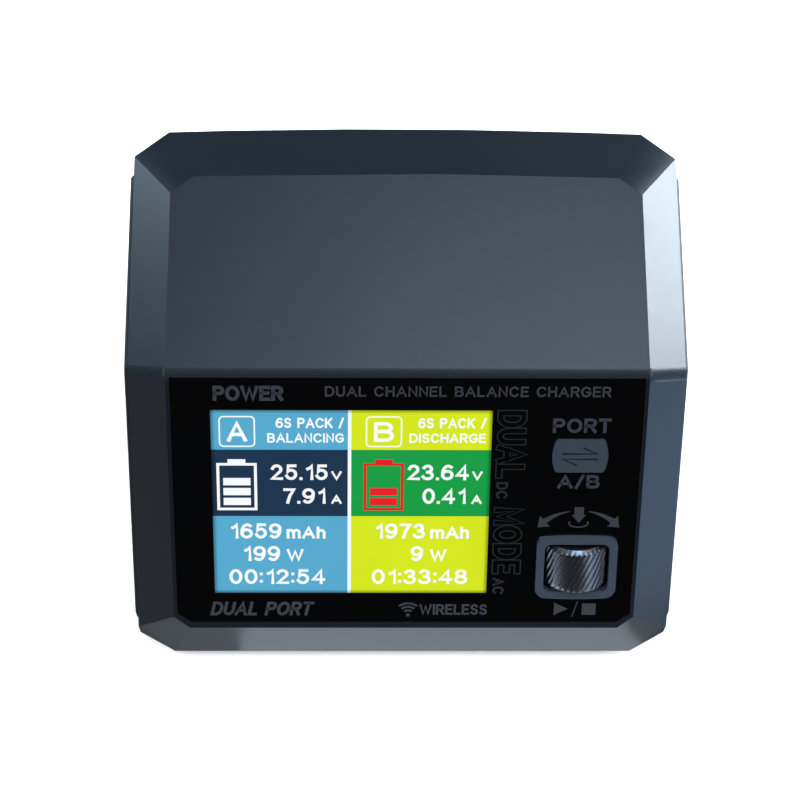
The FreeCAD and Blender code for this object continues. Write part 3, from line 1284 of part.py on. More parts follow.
def build_fan():
    front = "(rear_panel_y - rear_panel_thick - fan_depth)"
    low = ("fan_x - fan_size / 2", front, "fan_z - fan_size / 2")
    middle = ("fan_x", f"{front} - 1", "fan_z")
    bores = [rod("fan_bore_rod", middle, "fan_bore", "fan_depth + 2", ALONG_Y)]
    bores += [rod(f"fan_hole_{index}", (x, f"{front} - 1", z), "screw_radius + 0.6", "fan_depth + 2",
                  ALONG_Y) for index, (x, z) in enumerate(FAN_SCREWS)]
    box_frame = cut("fan_box", block("fan_block", low, ("fan_size", "fan_depth", "fan_size")), *bores)
    back = f"{front} + fan_depth - strut_thick"
    hub = rod("fan_hub_plate", ("fan_x", back, "fan_z"), "fan_hub + 0.5", "strut_thick", ALONG_Y)
    struts = [block("strut_across", ("fan_x - fan_bore - 0.5", back, "fan_z - 1.5"),
                    ("2 * fan_bore + 1", "strut_thick", 3)),
              block("strut_up", ("fan_x - 1.5", back, "fan_z - fan_bore - 0.5"),
                    (3, "strut_thick", "2 * fan_bore + 1"))]
    shaft = rod("fan_shaft", ("fan_x", f"{front} + 3", "fan_z"), 1.5, "fan_depth - 3", ALONG_Y)
    subpart(join("fan_housing", box_frame, hub, *struts, shaft), "fan_frame")
    cap = rod("rotor_cap", ("fan_x", f"{front} + 1.2", "fan_z"), "fan_hub", "fan_depth - strut_thick - 2",
              ALONG_Y)
    blades = []
    for index in range(7):
        turn = f"rotation(vector(0; 1; 0); {index * 360 / 7})"
        blade = document.addObject("Part::Box", f"blade_{index}")
        blade.setExpression("Length", formula("fan_bore - blade_gap - fan_hub + 1"))
        blade.setExpression("Width", formula("blade_chord"))
        blade.Height = 1.2
        lift = "placement(vector(fan_hub - 1; -blade_chord / 2; -0.6); rotation(vector(1; 0; 0); 0))"
        pitch = "placement(vector(0; 0; 0); rotation(vector(1; 0; 0); 40))"
        spot = at("fan_x", f"{front} + (fan_depth - strut_thick) / 2", "fan_z", turn)
        blade.setExpression("Placement", formula(f"{spot} * {pitch} * {lift}"))
        blades.append(blade)
    bore = rod("rotor_bore", ("fan_x", f"{front} + 2.5", "fan_z"), "1.5 + axle_gap", "fan_depth", ALONG_Y)
    subpart(cut("rotor", join("rotor_solid", cap, *blades), bore), "fan_rotor")
    screws = []
    for index, (x, z) in enumerate(FAN_SCREWS):
        shank = rod(f"fan_shank_{index}", (x, "rear_panel_y - 10", z), "screw_radius", 10, ALONG_Y)
        head = rod(f"fan_head_{index}", (x, "rear_panel_y", z), "screw_head", "head_height", ALONG_Y)
        screws.append(join(f"fan_screw_{index}", shank, head))
    subpart(join("fan_screw_set", *screws), "fan_screws")


# ---------------------------------------------------------------------------------------------------------
# Build, check and write
# ---------------------------------------------------------------------------------------------------------
def build_all():
    build_upper_case()
    build_lower_case()
    build_case_screws()
    for side, sign in SIDES:
        build_side_panel(side, sign)
    build_rear_panel()
    build_lens()
    build_display()
    build_control_board()
    build_button()
    build_wheel_bezel()
    build_wheel()
    build_boards()
    build_sockets()
    build_charge_parts()
    build_supply_parts()
    build_inlets()
    build_leads()
    build_fan()


def write_parts():
    document.recompute()
    for thing in document.Objects:
        if "Invalid" in thing.State or "Error" in thing.State:
            raise RuntimeError(f"{thing.Label} did not compute: {thing.State}")
    for piece in SUBPARTS:
        if piece.Shape.isNull() or not piece.Shape.isValid():
            raise RuntimeError(f"{piece.Label} has no valid shape")
    os.makedirs("parts", exist_ok=True)
    for piece in SUBPARTS:
        piece.Shape.exportStep(f"parts/{piece.Label}.step")
        print(f"{piece.Label}: {len(piece.Shape.Solids)} solid(s), {piece.Shape.Volume:.0f} mm3")
    print(len(SUBPARTS), "sub-parts")


build_all()
write_parts()
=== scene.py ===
# %% [markdown]
# # A balance battery charger, finished in Blender
# The charger's shape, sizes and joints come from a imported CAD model. This lesson adds what a CAD model lacks:
# softened edges, a lit display, printed legends, a knurled wheel and a real finish for every surface.
# All positions are in metres, in the model's own frame: +Z is up and the sloping panel faces -Y.

# %% Load the frame
import json
import math

import bmesh
import bpy
from mathutils import Matrix, Vector

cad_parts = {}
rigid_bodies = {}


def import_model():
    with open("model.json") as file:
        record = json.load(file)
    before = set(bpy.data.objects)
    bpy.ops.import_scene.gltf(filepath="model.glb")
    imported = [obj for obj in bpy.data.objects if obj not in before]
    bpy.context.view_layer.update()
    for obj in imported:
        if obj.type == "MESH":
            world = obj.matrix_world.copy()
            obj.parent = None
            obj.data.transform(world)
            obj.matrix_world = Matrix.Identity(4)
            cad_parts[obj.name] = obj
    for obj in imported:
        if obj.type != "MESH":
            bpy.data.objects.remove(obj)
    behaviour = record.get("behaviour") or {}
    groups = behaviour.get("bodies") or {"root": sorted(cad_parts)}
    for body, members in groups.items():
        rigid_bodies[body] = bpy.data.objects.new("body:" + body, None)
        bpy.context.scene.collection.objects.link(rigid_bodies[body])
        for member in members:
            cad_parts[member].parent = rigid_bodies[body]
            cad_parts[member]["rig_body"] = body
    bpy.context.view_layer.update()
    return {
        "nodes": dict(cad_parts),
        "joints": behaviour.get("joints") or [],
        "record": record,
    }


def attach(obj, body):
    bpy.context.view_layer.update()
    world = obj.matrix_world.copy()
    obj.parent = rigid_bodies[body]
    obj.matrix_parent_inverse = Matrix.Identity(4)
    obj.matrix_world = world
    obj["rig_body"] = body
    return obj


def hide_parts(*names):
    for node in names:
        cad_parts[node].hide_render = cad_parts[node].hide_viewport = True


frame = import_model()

# %% [markdown]
# ## The panel's own axes
# Everything that is printed or mounted on the sloping front is easiest to place in the panel's own axes: across,
# up the slope and outward from the face. The button's joint already says which way is inward, and the wheel's
# joint says where its axle is, so the axes come from those two and never need fitting by eye.

# %% Panel axes
MM = 0.001
joints = {joint["name"]: joint for joint in frame["joints"]}
OUTWARD = -Vector(joints["button_press"]["axis"]).normalized()
ACROSS = Vector((1, 0, 0))
UP_SLOPE = OUTWARD.cross(ACROSS)
WHEEL_X, WHEEL_V, WHEEL_N = 40.45, -51.4, -4.2      # the wheel's axle, in the panel's millimetres
axle_place = Vector(joints["wheel_turn"]["pos_m"])
CREST = axle_place - (ACROSS * WHEEL_X + UP_SLOPE * WHEEL_V + OUTWARD * WHEEL_N) * MM
PANEL = (Matrix.Translation(CREST) @ Matrix((ACROSS, UP_SLOPE, OUTWARD)).transposed().to_4x4()
         @ Matrix.Scale(MM, 4))
print("crest of the hood at", [round(c, 4) for c in CREST])

# %% [markdown]
# ## Camera
# A long lens from high in front, turned a little, looks almost straight down on the case, so the flat top fills
# the upper half of the view and the sloping panel the lower half. The camera comes first, because every later
# choice is judged through it.

# %% Camera
AZIMUTH = math.radians(-3.909)
ELEVATION = math.radians(69.855)
ROLL = math.radians(3.807)
DISTANCE = 0.54266
AIM = Vector((-0.001888, -0.014842, 0.070))
LENS = 108.72

back = Vector((math.sin(AZIMUTH) * math.cos(ELEVATION), -math.cos(AZIMUTH) * math.cos(ELEVATION),
               math.sin(ELEVATION)))
level = Vector((math.cos(AZIMUTH), math.sin(AZIMUTH), 0))
rising = back.cross(level)
side = level * math.cos(ROLL) + rising * math.sin(ROLL)
upper = rising * math.cos(ROLL) - level * math.sin(ROLL)
camera_data = bpy.data.cameras.new("camera")
camera_data.lens = LENS
camera = bpy.data.objects.new("camera", camera_data)
bpy.context.scene.collection.objects.link(camera)
camera.matrix_world = (Matrix.Translation(AIM + back * DISTANCE)
                       @ Matrix((side, upper, back)).transposed().to_4x4())
bpy.context.scene.camera = camera
print("camera at", [round(c, 3) for c in camera.location])

# %% [markdown]
# ## Floor and cards
# The charger stands on a plain pale floor. The case is glossy and mirrors what lies round it, so a white floor
# would turn its walls white. Reflections and bounced light therefore pass through the floor and meet glowing cards
# just below it, like paper laid round the case in a studio: a dim one everywhere, a blue one to the right,
# a paler one under the front corners and a bright strip before the front wall. Where two overlap, the higher
# one shows.

# %% Floor and cards
def flat_square(name, centre, size, depth=0.0):
    """A level rectangle below the floor's height that belongs to the studio, not to the object."""
    shape = bmesh.new()
    bmesh.ops.create_grid(shape, x_segments=1, y_segments=1, size=0.5)
    bmesh.ops.scale(shape, vec=(*size, 1), verts=shape.verts)
    bmesh.ops.translate(shape, vec=(*centre, -depth), verts=shape.verts)
    data = bpy.data.meshes.new(name)
    shape.to_mesh(data)
    shape.free()
    square = bpy.data.objects.new(name, data)
    bpy.context.scene.collection.objects.link(square)
    return square


def card(name, centre, size, depth, glow, tint=(0.8, 0.9, 1.0)):
    """A glowing card that only reflections and bounced light see. A lower card is hidden by those above it."""
    square = flat_square(name, centre, size, depth)
    for ray in ("camera", "shadow", "transmission"):
        setattr(square, f"visible_{ray}", False)
    paint = bpy.data.materials.new(name)
    paint.use_nodes = True
    shader = paint.node_tree.nodes["Principled BSDF"]
    shader.inputs["Base Color"].default_value = (0, 0, 0, 1)
    shader.inputs["Emission Color"].default_value = (*tint, 1)
    shader.inputs["Emission Strength"].default_value = glow
    square.data.materials.append(paint)


FLOOR_SIZE = (6, 6)
floor = flat_square("floor", (0, 0), FLOOR_SIZE)
floor.visible_diffuse = False
floor.visible_glossy = False
card("card_all_round", centre=(0, 0), size=FLOOR_SIZE, depth=0.0016, glow=0.26)
card("card_right", centre=(0.29, -0.11), size=(0.4, 0.34), depth=0.0012, glow=1.9, tint=(0.42, 0.66, 1.0))
card("card_corners", centre=(0.014, -0.093), size=(0.17, 0.07), depth=0.0008, glow=0.75)
card("card_strip", centre=(0.01, -0.085), size=(0.1, 0.07), depth=0.0004, glow=1.9)

# %% [markdown]
# ## Studio light
# Soft boxes stand round the case as in a product studio: a strong one to the right and behind, whose reflection
# brightens the right-hand bevel, a weaker one to the left, and one overhead that gives the flat top its slow
# gradient. Two very wide suns stand for a ceiling that is lit on both sides. Nothing bright stands low in front,
# so the glossy panel, which mirrors that side of the room, stays black. The floor has a sun of its own, linked to
# nothing else, so it can be white while the case stays dark.

# %% Lights
LAMP_DISTANCE = 0.9
LAMP_AIM = Vector((0, 0, 0.05))         # inside the case
WHITE_LIGHT = (1.0, 1.0, 1.0)
CEILING_ELEVATION = 45


def toward(azimuth, elevation):
    """The direction at a compass bearing (0 is the front, 90 is +X) and a height above the horizon."""
    turn, rise = math.radians(azimuth), math.radians(elevation)
    return Vector((math.sin(turn) * math.cos(rise), -math.cos(turn) * math.cos(rise), math.sin(rise)))


def light(name, kind, azimuth, elevation, energy, tint):
    """A light that looks at the case."""
    data = bpy.data.lights.new(name, kind)
    data.energy = energy
    data.color = tint
    lamp = bpy.data.objects.new(name, data)
    bpy.context.scene.collection.objects.link(lamp)
    away = toward(azimuth, elevation)
    lamp.matrix_world = (Matrix.Translation(away * LAMP_DISTANCE + LAMP_AIM)
                         @ away.to_track_quat("Z", "Y").to_matrix().to_4x4())
    return data


def wide_sun(name, azimuth, elevation, strength, spread):
    """A white sun whose disc is spread degrees wide, so its shadows are soft."""
    light(name, "SUN", azimuth, elevation, strength, WHITE_LIGHT).angle = math.radians(spread)


def soft_box(name, azimuth, elevation, width, tall, energy, tint):
    """A rectangular soft light."""
    data = light(name, "AREA", azimuth, elevation, energy, tint)
    data.shape = "RECTANGLE"
    data.size = width
    data.size_y = tall


wide_sun("ceiling_right", 80, CEILING_ELEVATION, strength=1.6, spread=45)
wide_sun("ceiling_left", -80, CEILING_ELEVATION, strength=1.0, spread=45)
soft_box("key_right", 126, 8, width=0.6, tall=0.22, energy=14.5, tint=(0.8, 0.92, 1.0))
soft_box("fill_left", -131, 12, width=0.26, tall=0.2, energy=6.5, tint=(0.6, 0.82, 1.0))
soft_box("overhead", 150, 73, width=0.32, tall=0.32, energy=2.1, tint=(0.56, 0.78, 1.0))
wide_sun("floor_wash", 0, 90, strength=3.5, spread=60)
only_floor = bpy.data.collections.new("only the floor")
only_floor.objects.link(floor)
bpy.data.objects["floor_wash"].light_linking.receiver_collection = only_floor

# %% Studio walls
def build_studio():
    """A dim studio that the gloss mirrors, brighter overhead, and a plain pale backdrop behind the object."""
    world = bpy.data.worlds.new("studio")
    world.use_nodes = True
    tree = world.node_tree
    walls = tree.nodes["Background"]
    place = tree.nodes.new("ShaderNodeTexCoord")
    height = tree.nodes.new("ShaderNodeSeparateXYZ")
    tree.links.new(place.outputs["Generated"], height.inputs["Vector"])
    rise = tree.nodes.new("ShaderNodeMapRange")
    rise.interpolation_type = "SMOOTHSTEP"
    rise.inputs["From Min"].default_value = 0.25
    rise.inputs["To Min"].default_value = 0.03
    rise.inputs["To Max"].default_value = 0.22
    tree.links.new(height.outputs["Z"], rise.inputs["Value"])
    tree.links.new(rise.outputs["Result"], walls.inputs["Strength"])
    walls.inputs["Color"].default_value = (0.9, 0.95, 1.0, 1)
    pale = tree.nodes.new("ShaderNodeBackground")
    pale.inputs["Color"].default_value = (0.93, 0.94, 0.95, 1)
    seen = tree.nodes.new("ShaderNodeLightPath")
    choice = tree.nodes.new("ShaderNodeMixShader")
    tree.links.new(seen.outputs["Is Camera Ray"], choice.inputs["Fac"])
    tree.links.new(walls.outputs["Background"], choice.inputs[1])
    tree.links.new(pale.outputs["Background"], choice.inputs[2])
    tree.links.new(choice.outputs["Shader"], tree.nodes["World Output"].inputs["Surface"])
    return world


bpy.context.scene.world = build_studio()
bpy.context.scene.view_settings.view_transform = "Standard"
print("world:", bpy.context.scene.world.name)

# %% [markdown]
# ## Finishes
# No surface on a real moulding is one flat colour. The grain of the mould breaks up the gloss, and the colour
# and gloss drift slowly over the part. Three effects repeat on many parts, so each is a node group with named
# inputs: moulding grain, brushed streaks and wound wire. A group gives only colours, values and heights, and
# the shader stays in the material, where each finish sets its own plain numbers.

# %% Node helpers
def linear(red, green, blue):
    """A colour given as 0-255 screen values, in the linear values that a shader takes."""
    def one(level):
        share = level / 255
        return share / 12.92 if share <= 0.04045 else ((share + 0.055) / 1.055) ** 2.4
    return (one(red), one(green), one(blue), 1.0)


def new_group(name, inputs, outputs):
    """A shader node group with float and colour sockets, and its two end nodes."""
    tree = bpy.data.node_groups.new(name, "ShaderNodeTree")
    for label, kind, default in inputs:
        socket = tree.interface.new_socket(name=label, in_out="INPUT", socket_type=kind)
        if default is not None:
            socket.default_value = default
    for label, kind in outputs:
        tree.interface.new_socket(name=label, in_out="OUTPUT", socket_type=kind)
    return tree, tree.nodes.new("NodeGroupInput"), tree.nodes.new("NodeGroupOutput")


def noise(tree, coordinates, scale, detail=3.0, roughness=0.55):
    """A noise texture on the given coordinates, scale in turns per metre."""
    node = tree.nodes.new("ShaderNodeTexNoise")
    node.inputs["Detail"].default_value = detail
    node.inputs["Roughness"].default_value = roughness
    tree.links.new(coordinates, node.inputs["Vector"])
    if isinstance(scale, (int, float)):
        node.inputs["Scale"].default_value = scale
    else:
        tree.links.new(scale, node.inputs["Scale"])
    return node.outputs["Fac"]


def arithmetic(tree, operation, first, second, third=None):
    """One Math node. Each input is a socket or a plain number."""
    node = tree.nodes.new("ShaderNodeMath")
    node.operation = operation
    for socket, term in zip(node.inputs, (first, second, third)):
        if term is None:
            continue
        if isinstance(term, (int, float)):
            socket.default_value = term
        else:
            tree.links.new(term, socket)
    return node.outputs["Value"]


def tinted(tree, colour, level):
    """The colour made lighter or darker: multiplied by a value that is 1 where nothing changes."""
    node = tree.nodes.new("ShaderNodeVectorMath")
    node.operation = "SCALE"
    tree.links.new(colour, node.inputs[0])
    tree.links.new(level, node.inputs["Scale"])
    return node.outputs["Vector"]


COLOUR, NUMBER = "NodeSocketColor", "NodeSocketFloat"
print("node helpers ready")

# %% [markdown]
# ### Moulding grain
# An injection mould is spark-eroded, which leaves a fine, even texture on the plastic. The grain group mixes a
# fine noise for that texture with a slow one for the drift of colour and gloss that flow and handling leave.

# %% Moulding grain group
def build_grain():
    tree, ends, result = new_group(
        "Moulding grain",
        [("Colour", COLOUR, (0.5, 0.5, 0.5, 1)), ("Grain per metre", NUMBER, 3000.0),
         ("Colour drift", NUMBER, 0.06), ("Roughness", NUMBER, 0.4), ("Gloss drift", NUMBER, 0.06)],
        [("Colour", COLOUR), ("Roughness", NUMBER), ("Height", NUMBER)])
    place = tree.nodes.new("ShaderNodeTexCoord").outputs["Object"]
    fine = noise(tree, place, ends.outputs["Grain per metre"], detail=2.0)
    slow = noise(tree, place, 22.0, detail=4.0)
    drift = arithmetic(tree, "SUBTRACT", slow, 0.5)
    level = arithmetic(tree, "MULTIPLY_ADD", drift, ends.outputs["Colour drift"], 1.0)
    fleck = arithmetic(tree, "MULTIPLY", arithmetic(tree, "SUBTRACT", fine, 0.5), ends.outputs["Colour drift"])
    level = arithmetic(tree, "ADD", level, fleck)
    tree.links.new(tinted(tree, ends.outputs["Colour"], level), result.inputs["Colour"])
    gloss = arithmetic(tree, "MULTIPLY_ADD", drift, ends.outputs["Gloss drift"], ends.outputs["Roughness"])
    tree.links.new(gloss, result.inputs["Roughness"])
    tree.links.new(fine, result.inputs["Height"])
    return tree


GRAIN = build_grain()
print("group:", GRAIN.name)

# %% [markdown]
# ### Brushed streaks and windings
# Rolled and brushed metal is smooth one way and streaked the other, so its noise is stretched along one axis.
# A winding is turn beside turn of round wire, so it is a wave along the axis that the wire is wound round. The
# wave node passes through 20 radians per metre at a scale of 1, and a whole turn takes 2 pi of them. The same
# wave darkens the colour in the grooves as painted shade and lightens it on the crowns as painted highlight.

# %% Brushed and wound groups
WAVE_RADIANS = 20.0             # the wave node's radians per metre at a scale of 1


def build_brushed():
    tree, ends, result = new_group(
        "Brushed streaks",
        [("Colour", COLOUR, (0.7, 0.7, 0.7, 1)), ("Streak", NUMBER, 0.12), ("Roughness", NUMBER, 0.3)],
        [("Colour", COLOUR), ("Roughness", NUMBER), ("Height", NUMBER)])
    place = tree.nodes.new("ShaderNodeTexCoord").outputs["Object"]
    stretch = tree.nodes.new("ShaderNodeMapping")
    stretch.inputs["Scale"].default_value = (90.0, 2600.0, 2600.0)
    tree.links.new(place, stretch.inputs["Vector"])
    streaks = noise(tree, stretch.outputs["Vector"], 1.0)
    spread = arithmetic(tree, "SUBTRACT", streaks, 0.5)
    level = arithmetic(tree, "MULTIPLY_ADD", spread, ends.outputs["Streak"], 1.0)
    tree.links.new(tinted(tree, ends.outputs["Colour"], level), result.inputs["Colour"])
    gloss = arithmetic(tree, "MULTIPLY_ADD", spread, ends.outputs["Streak"], ends.outputs["Roughness"])
    tree.links.new(gloss, result.inputs["Roughness"])
    tree.links.new(streaks, result.inputs["Height"])
    return tree


def build_wound():
    tree, ends, result = new_group(
        "Wound turns with painted groove shade",
        [("Colour", COLOUR, (0.7, 0.3, 0.1, 1)), ("Radians per metre", NUMBER, 1200.0),
         ("Roughness", NUMBER, 0.3)],
        [("Colour", COLOUR), ("Roughness", NUMBER), ("Height", NUMBER)])
    place = tree.nodes.new("ShaderNodeTexCoord").outputs["Object"]
    turns = tree.nodes.new("ShaderNodeTexWave")
    turns.bands_direction = "Z"
    turns.inputs["Distortion"].default_value = 0.3
    tree.links.new(place, turns.inputs["Vector"])
    scale = arithmetic(tree, "DIVIDE", ends.outputs["Radians per metre"], WAVE_RADIANS)
    tree.links.new(scale, turns.inputs["Scale"])
    # Painted shade and highlight: the colour is darkened in the grooves between turns and lightened on their
    # crowns.
    level = arithmetic(tree, "MULTIPLY_ADD", turns.outputs["Fac"], 0.7, 0.45)
    tree.links.new(tinted(tree, ends.outputs["Colour"], level), result.inputs["Colour"])
    gloss = arithmetic(tree, "MULTIPLY_ADD", turns.outputs["Fac"], -0.1, ends.outputs["Roughness"])
    tree.links.new(gloss, result.inputs["Roughness"])
    tree.links.new(turns.outputs["Fac"], result.inputs["Height"])
    return tree


BRUSHED = build_brushed()
WOUND = build_wound()
print("groups:", BRUSHED.name, "and", WOUND.name)

# %% [markdown]
# ### From a group to a finish
# Every finish is the same short chain: a group gives colour, roughness and height, a Bump node turns the height
# into a normal, and the shader's own sockets hold what is even all over, such as metal or a clear coat.

# %% Finish maker
def finish(name, colour, group=GRAIN, roughness=0.4, depth=0.02, bump_step=0.0001, metal=0.0, coat=0.0,
           coat_roughness=0.08, **inputs):
    """A material whose surface comes from one of the groups. Depth is the bump's strength."""
    material = bpy.data.materials.new(name)
    material.use_nodes = True
    tree = material.node_tree
    shader = tree.nodes["Principled BSDF"]
    surface = tree.nodes.new("ShaderNodeGroup")
    surface.node_tree = group
    surface.inputs["Colour"].default_value = linear(*colour)
    surface.inputs["Roughness"].default_value = roughness
    for label, number in inputs.items():
        surface.inputs[label.replace("_", " ")].default_value = number
    bump = tree.nodes.new("ShaderNodeBump")
    bump.inputs["Strength"].default_value = depth
    bump.inputs["Distance"].default_value = bump_step
    tree.links.new(surface.outputs["Height"], bump.inputs["Height"])
    tree.links.new(surface.outputs["Colour"], shader.inputs["Base Color"])
    tree.links.new(surface.outputs["Roughness"], shader.inputs["Roughness"])
    tree.links.new(bump.outputs["Normal"], shader.inputs["Normal"])
    shader.inputs["Metallic"].default_value = metal
    shader.inputs["Coat Weight"].default_value = coat
    shader.inputs["Coat Roughness"].default_value = coat_roughness
    material.diffuse_color = linear(*colour)
    return material


CASE = finish("satin slate plastic", (22, 28, 36), roughness=0.33, depth=0.25, Grain_per_metre=4200.0,
              Gloss_drift=0.08)
PANEL_BLACK = finish("satin black plastic", (24, 25, 28), roughness=0.45, depth=0.25)
LENS_BLACK = finish("black printed acrylic", (3, 3, 4), roughness=0.05, depth=0.01, Grain_per_metre=400.0,
                    Gloss_drift=0.02, coat=0.3, coat_roughness=0.03)
BEZEL = finish("satin bezel plastic", (74, 82, 96), roughness=0.38, depth=0.2)
BUTTON = finish("satin button plastic", (70, 78, 91), roughness=0.36, depth=0.2)
RUBBER = finish("soft rubber", (30, 30, 31), roughness=0.8, depth=0.5, Grain_per_metre=1600.0)
BLACK_PART = finish("moulded black part", (17, 17, 18), roughness=0.5, depth=0.2)
FOAM = finish("black foam", (20, 20, 20), roughness=0.95, depth=0.9, Grain_per_metre=2200.0)
TAPE = finish("black tape", (18, 18, 19), roughness=0.55, depth=0.2)
PAPER = finish("insulating sheet", (222, 219, 206), roughness=0.75, depth=0.3)
SOCKET = finish("yellow nylon", (233, 188, 35), roughness=0.38, depth=0.2)
HEADER = finish("natural white nylon", (226, 222, 208), roughness=0.42, depth=0.2)
FERRITE = finish("pressed ferrite", (52, 52, 55), roughness=0.75, depth=0.5, Grain_per_metre=2500.0)
SLEEVE = finish("capacitor sleeve", (38, 52, 110), roughness=0.28, depth=0.1, coat=0.4)
FILM = finish("film capacitor case", (231, 170, 38), roughness=0.3, depth=0.2)
SENSOR = finish("rotary sensor", (42, 42, 44), roughness=0.35, depth=0.2)
FLEX = finish("flexible circuit", (170, 96, 24), roughness=0.3, depth=0.1)
FAN = finish("fan plastic", (28, 28, 30), roughness=0.42, depth=0.2)
WIRE_BLACK = finish("black wire", (20, 20, 21), roughness=0.5, depth=0.1)
WIRE_RED = finish("red silicone wire", (168, 26, 20), roughness=0.55, depth=0.1)
BLACK_SCREW = finish("blackened screw", (34, 34, 36), group=BRUSHED, roughness=0.35, depth=0.1, metal=1.0)
BRIGHT_SCREW = finish("zinc-plated screw", (196, 196, 200), group=BRUSHED, roughness=0.25, depth=0.1, metal=1.0)
STEEL_SHEET = finish("bright steel sheet", (190, 191, 194), group=BRUSHED, roughness=0.3, depth=0.2, metal=1.0)
AXLE = finish("ground steel axle", (205, 205, 208), group=BRUSHED, roughness=0.16, depth=0.05, metal=1.0)
BRASS = finish("turned brass", (206, 170, 92), group=BRUSHED, roughness=0.26, depth=0.1, metal=1.0)
GOLD = finish("gold-plated contact", (228, 186, 96), group=BRUSHED, roughness=0.18, depth=0.05, metal=1.0)
TIN = finish("tinned metal", (206, 207, 210), group=BRUSHED, roughness=0.28, depth=0.1, metal=1.0)
ALUMINIUM = finish("extruded aluminium", (198, 200, 204), group=BRUSHED, roughness=0.36, depth=0.25, metal=1.0)
# Both windings carry the wound group's painted shade in the grooves between their turns.
COPPER = finish("enamelled copper wire", (196, 98, 48), group=WOUND, roughness=0.25, depth=0.8,
                bump_step=0.0003, metal=1.0, Radians_per_metre=1100.0)
WINDING = finish("winding tape", (226, 190, 40), group=WOUND, roughness=0.3, depth=0.3, bump_step=0.0002,
                 Radians_per_metre=160.0)
WHEEL_METAL = finish("plated knurled wheel", (128, 130, 138), group=BRUSHED, roughness=0.3, depth=0.15,
                     metal=1.0, Streak=0.2)
print(len(bpy.data.materials), "finishes so far")

# %% [markdown]
# ### Circuit board
# Solder mask lies over copper tracks and lets a paler green show where they run. A brick pattern with long thin
# bricks gives tracks, and a second, turned one makes them change direction from region to region.

# %% Circuit board finish
def build_board_finish():
    material = bpy.data.materials.new("green solder mask")
    material.use_nodes = True
    tree = material.node_tree
    shader = tree.nodes["Principled BSDF"]
    place = tree.nodes.new("ShaderNodeTexCoord").outputs["Object"]
    tracks = tree.nodes.new("ShaderNodeTexBrick")
    tracks.inputs["Color1"].default_value = linear(14, 74, 40)
    tracks.inputs["Color2"].default_value = linear(20, 92, 50)
    tracks.inputs["Mortar"].default_value = linear(38, 122, 70)
    tracks.inputs["Scale"].default_value = 160.0
    tracks.inputs["Mortar Size"].default_value = 0.06
    tracks.inputs["Brick Width"].default_value = 1.7
    tracks.inputs["Row Height"].default_value = 0.4
    tree.links.new(place, tracks.inputs["Vector"])
    tree.links.new(tracks.outputs["Color"], shader.inputs["Base Color"])
    sheen = arithmetic(tree, "MULTIPLY_ADD", noise(tree, place, 300.0), 0.15, 0.2)
    tree.links.new(sheen, shader.inputs["Roughness"])
    bump = tree.nodes.new("ShaderNodeBump")
    bump.inputs["Strength"].default_value = 0.3
    bump.inputs["Distance"].default_value = 0.00005
    tree.links.new(tracks.outputs["Fac"], bump.inputs["Height"])
    tree.links.new(bump.outputs["Normal"], shader.inputs["Normal"])
    return material


BOARD = build_board_finish()
print("board finish ready")

# %% [markdown]
# ### Light from the display
# A colour display glows almost evenly, a little less towards its rim and a little more in some places than in
# others. One function makes each colour of the picture. The dimming depends on the place on the panel, so the
# mapping turns the metres of the model into the panel's millimetres, measured from the middle of the picture.

# %% Display finishes
SCREEN_LEFT, SCREEN_RIGHT = -44.9, 19.4
SCREEN_TOP, SCREEN_LOW = -9.3, -58.9
SCREEN_X = (SCREEN_LEFT + SCREEN_RIGHT) / 2
SCREEN_V = (SCREEN_TOP + SCREEN_LOW) / 2
SCREEN_HALF = ((SCREEN_RIGHT - SCREEN_LEFT) / 2, (SCREEN_TOP - SCREEN_LOW) / 2)
RIM_FADE, RIM_LEVEL = 1.1, 0.45         # how far in the rim dims, and how bright its very edge stays


def build_glow_mask():
    """A group that gives 1 over the picture, less near its rim."""
    tree, ends, result = new_group(
        "Backlight",
        [("Colour", COLOUR, (1, 1, 1, 1))],
        [("Colour", COLOUR), ("Roughness", NUMBER)])
    place = tree.nodes.new("ShaderNodeTexCoord").outputs["Object"]
    middle = PANEL @ Vector((SCREEN_X, SCREEN_V, 0))
    local = tree.nodes.new("ShaderNodeMapping")
    local.vector_type = "TEXTURE"
    local.inputs["Location"].default_value = middle
    local.inputs["Rotation"].default_value = PANEL.to_3x3().normalized().to_euler()
    local.inputs["Scale"].default_value = (MM, MM, MM)
    tree.links.new(place, local.inputs["Vector"])
    apart = tree.nodes.new("ShaderNodeSeparateXYZ")
    tree.links.new(local.outputs["Vector"], apart.inputs["Vector"])
    shares = []
    for axis, half in zip("XY", SCREEN_HALF):
        inside = arithmetic(tree, "SUBTRACT", half, arithmetic(tree, "ABSOLUTE", apart.outputs[axis], None))
        ramp = tree.nodes.new("ShaderNodeMapRange")
        ramp.interpolation_type = "SMOOTHSTEP"
        ramp.inputs["From Max"].default_value = RIM_FADE
        ramp.inputs["To Min"].default_value = RIM_LEVEL
        tree.links.new(inside, ramp.inputs["Value"])
        shares.append(ramp.outputs["Result"])
    share = arithmetic(tree, "MULTIPLY", shares[0], shares[1])
    uneven = arithmetic(tree, "MULTIPLY_ADD", noise(tree, place, 45.0), 0.12, 0.94)
    level = arithmetic(tree, "MULTIPLY", share, uneven)
    tree.links.new(tinted(tree, ends.outputs["Colour"], level), result.inputs["Colour"])
    smear = arithmetic(tree, "MULTIPLY_ADD", noise(tree, place, 90.0), 0.06, 0.07)
    tree.links.new(smear, result.inputs["Roughness"])
    return tree


BACKLIGHT = build_glow_mask()


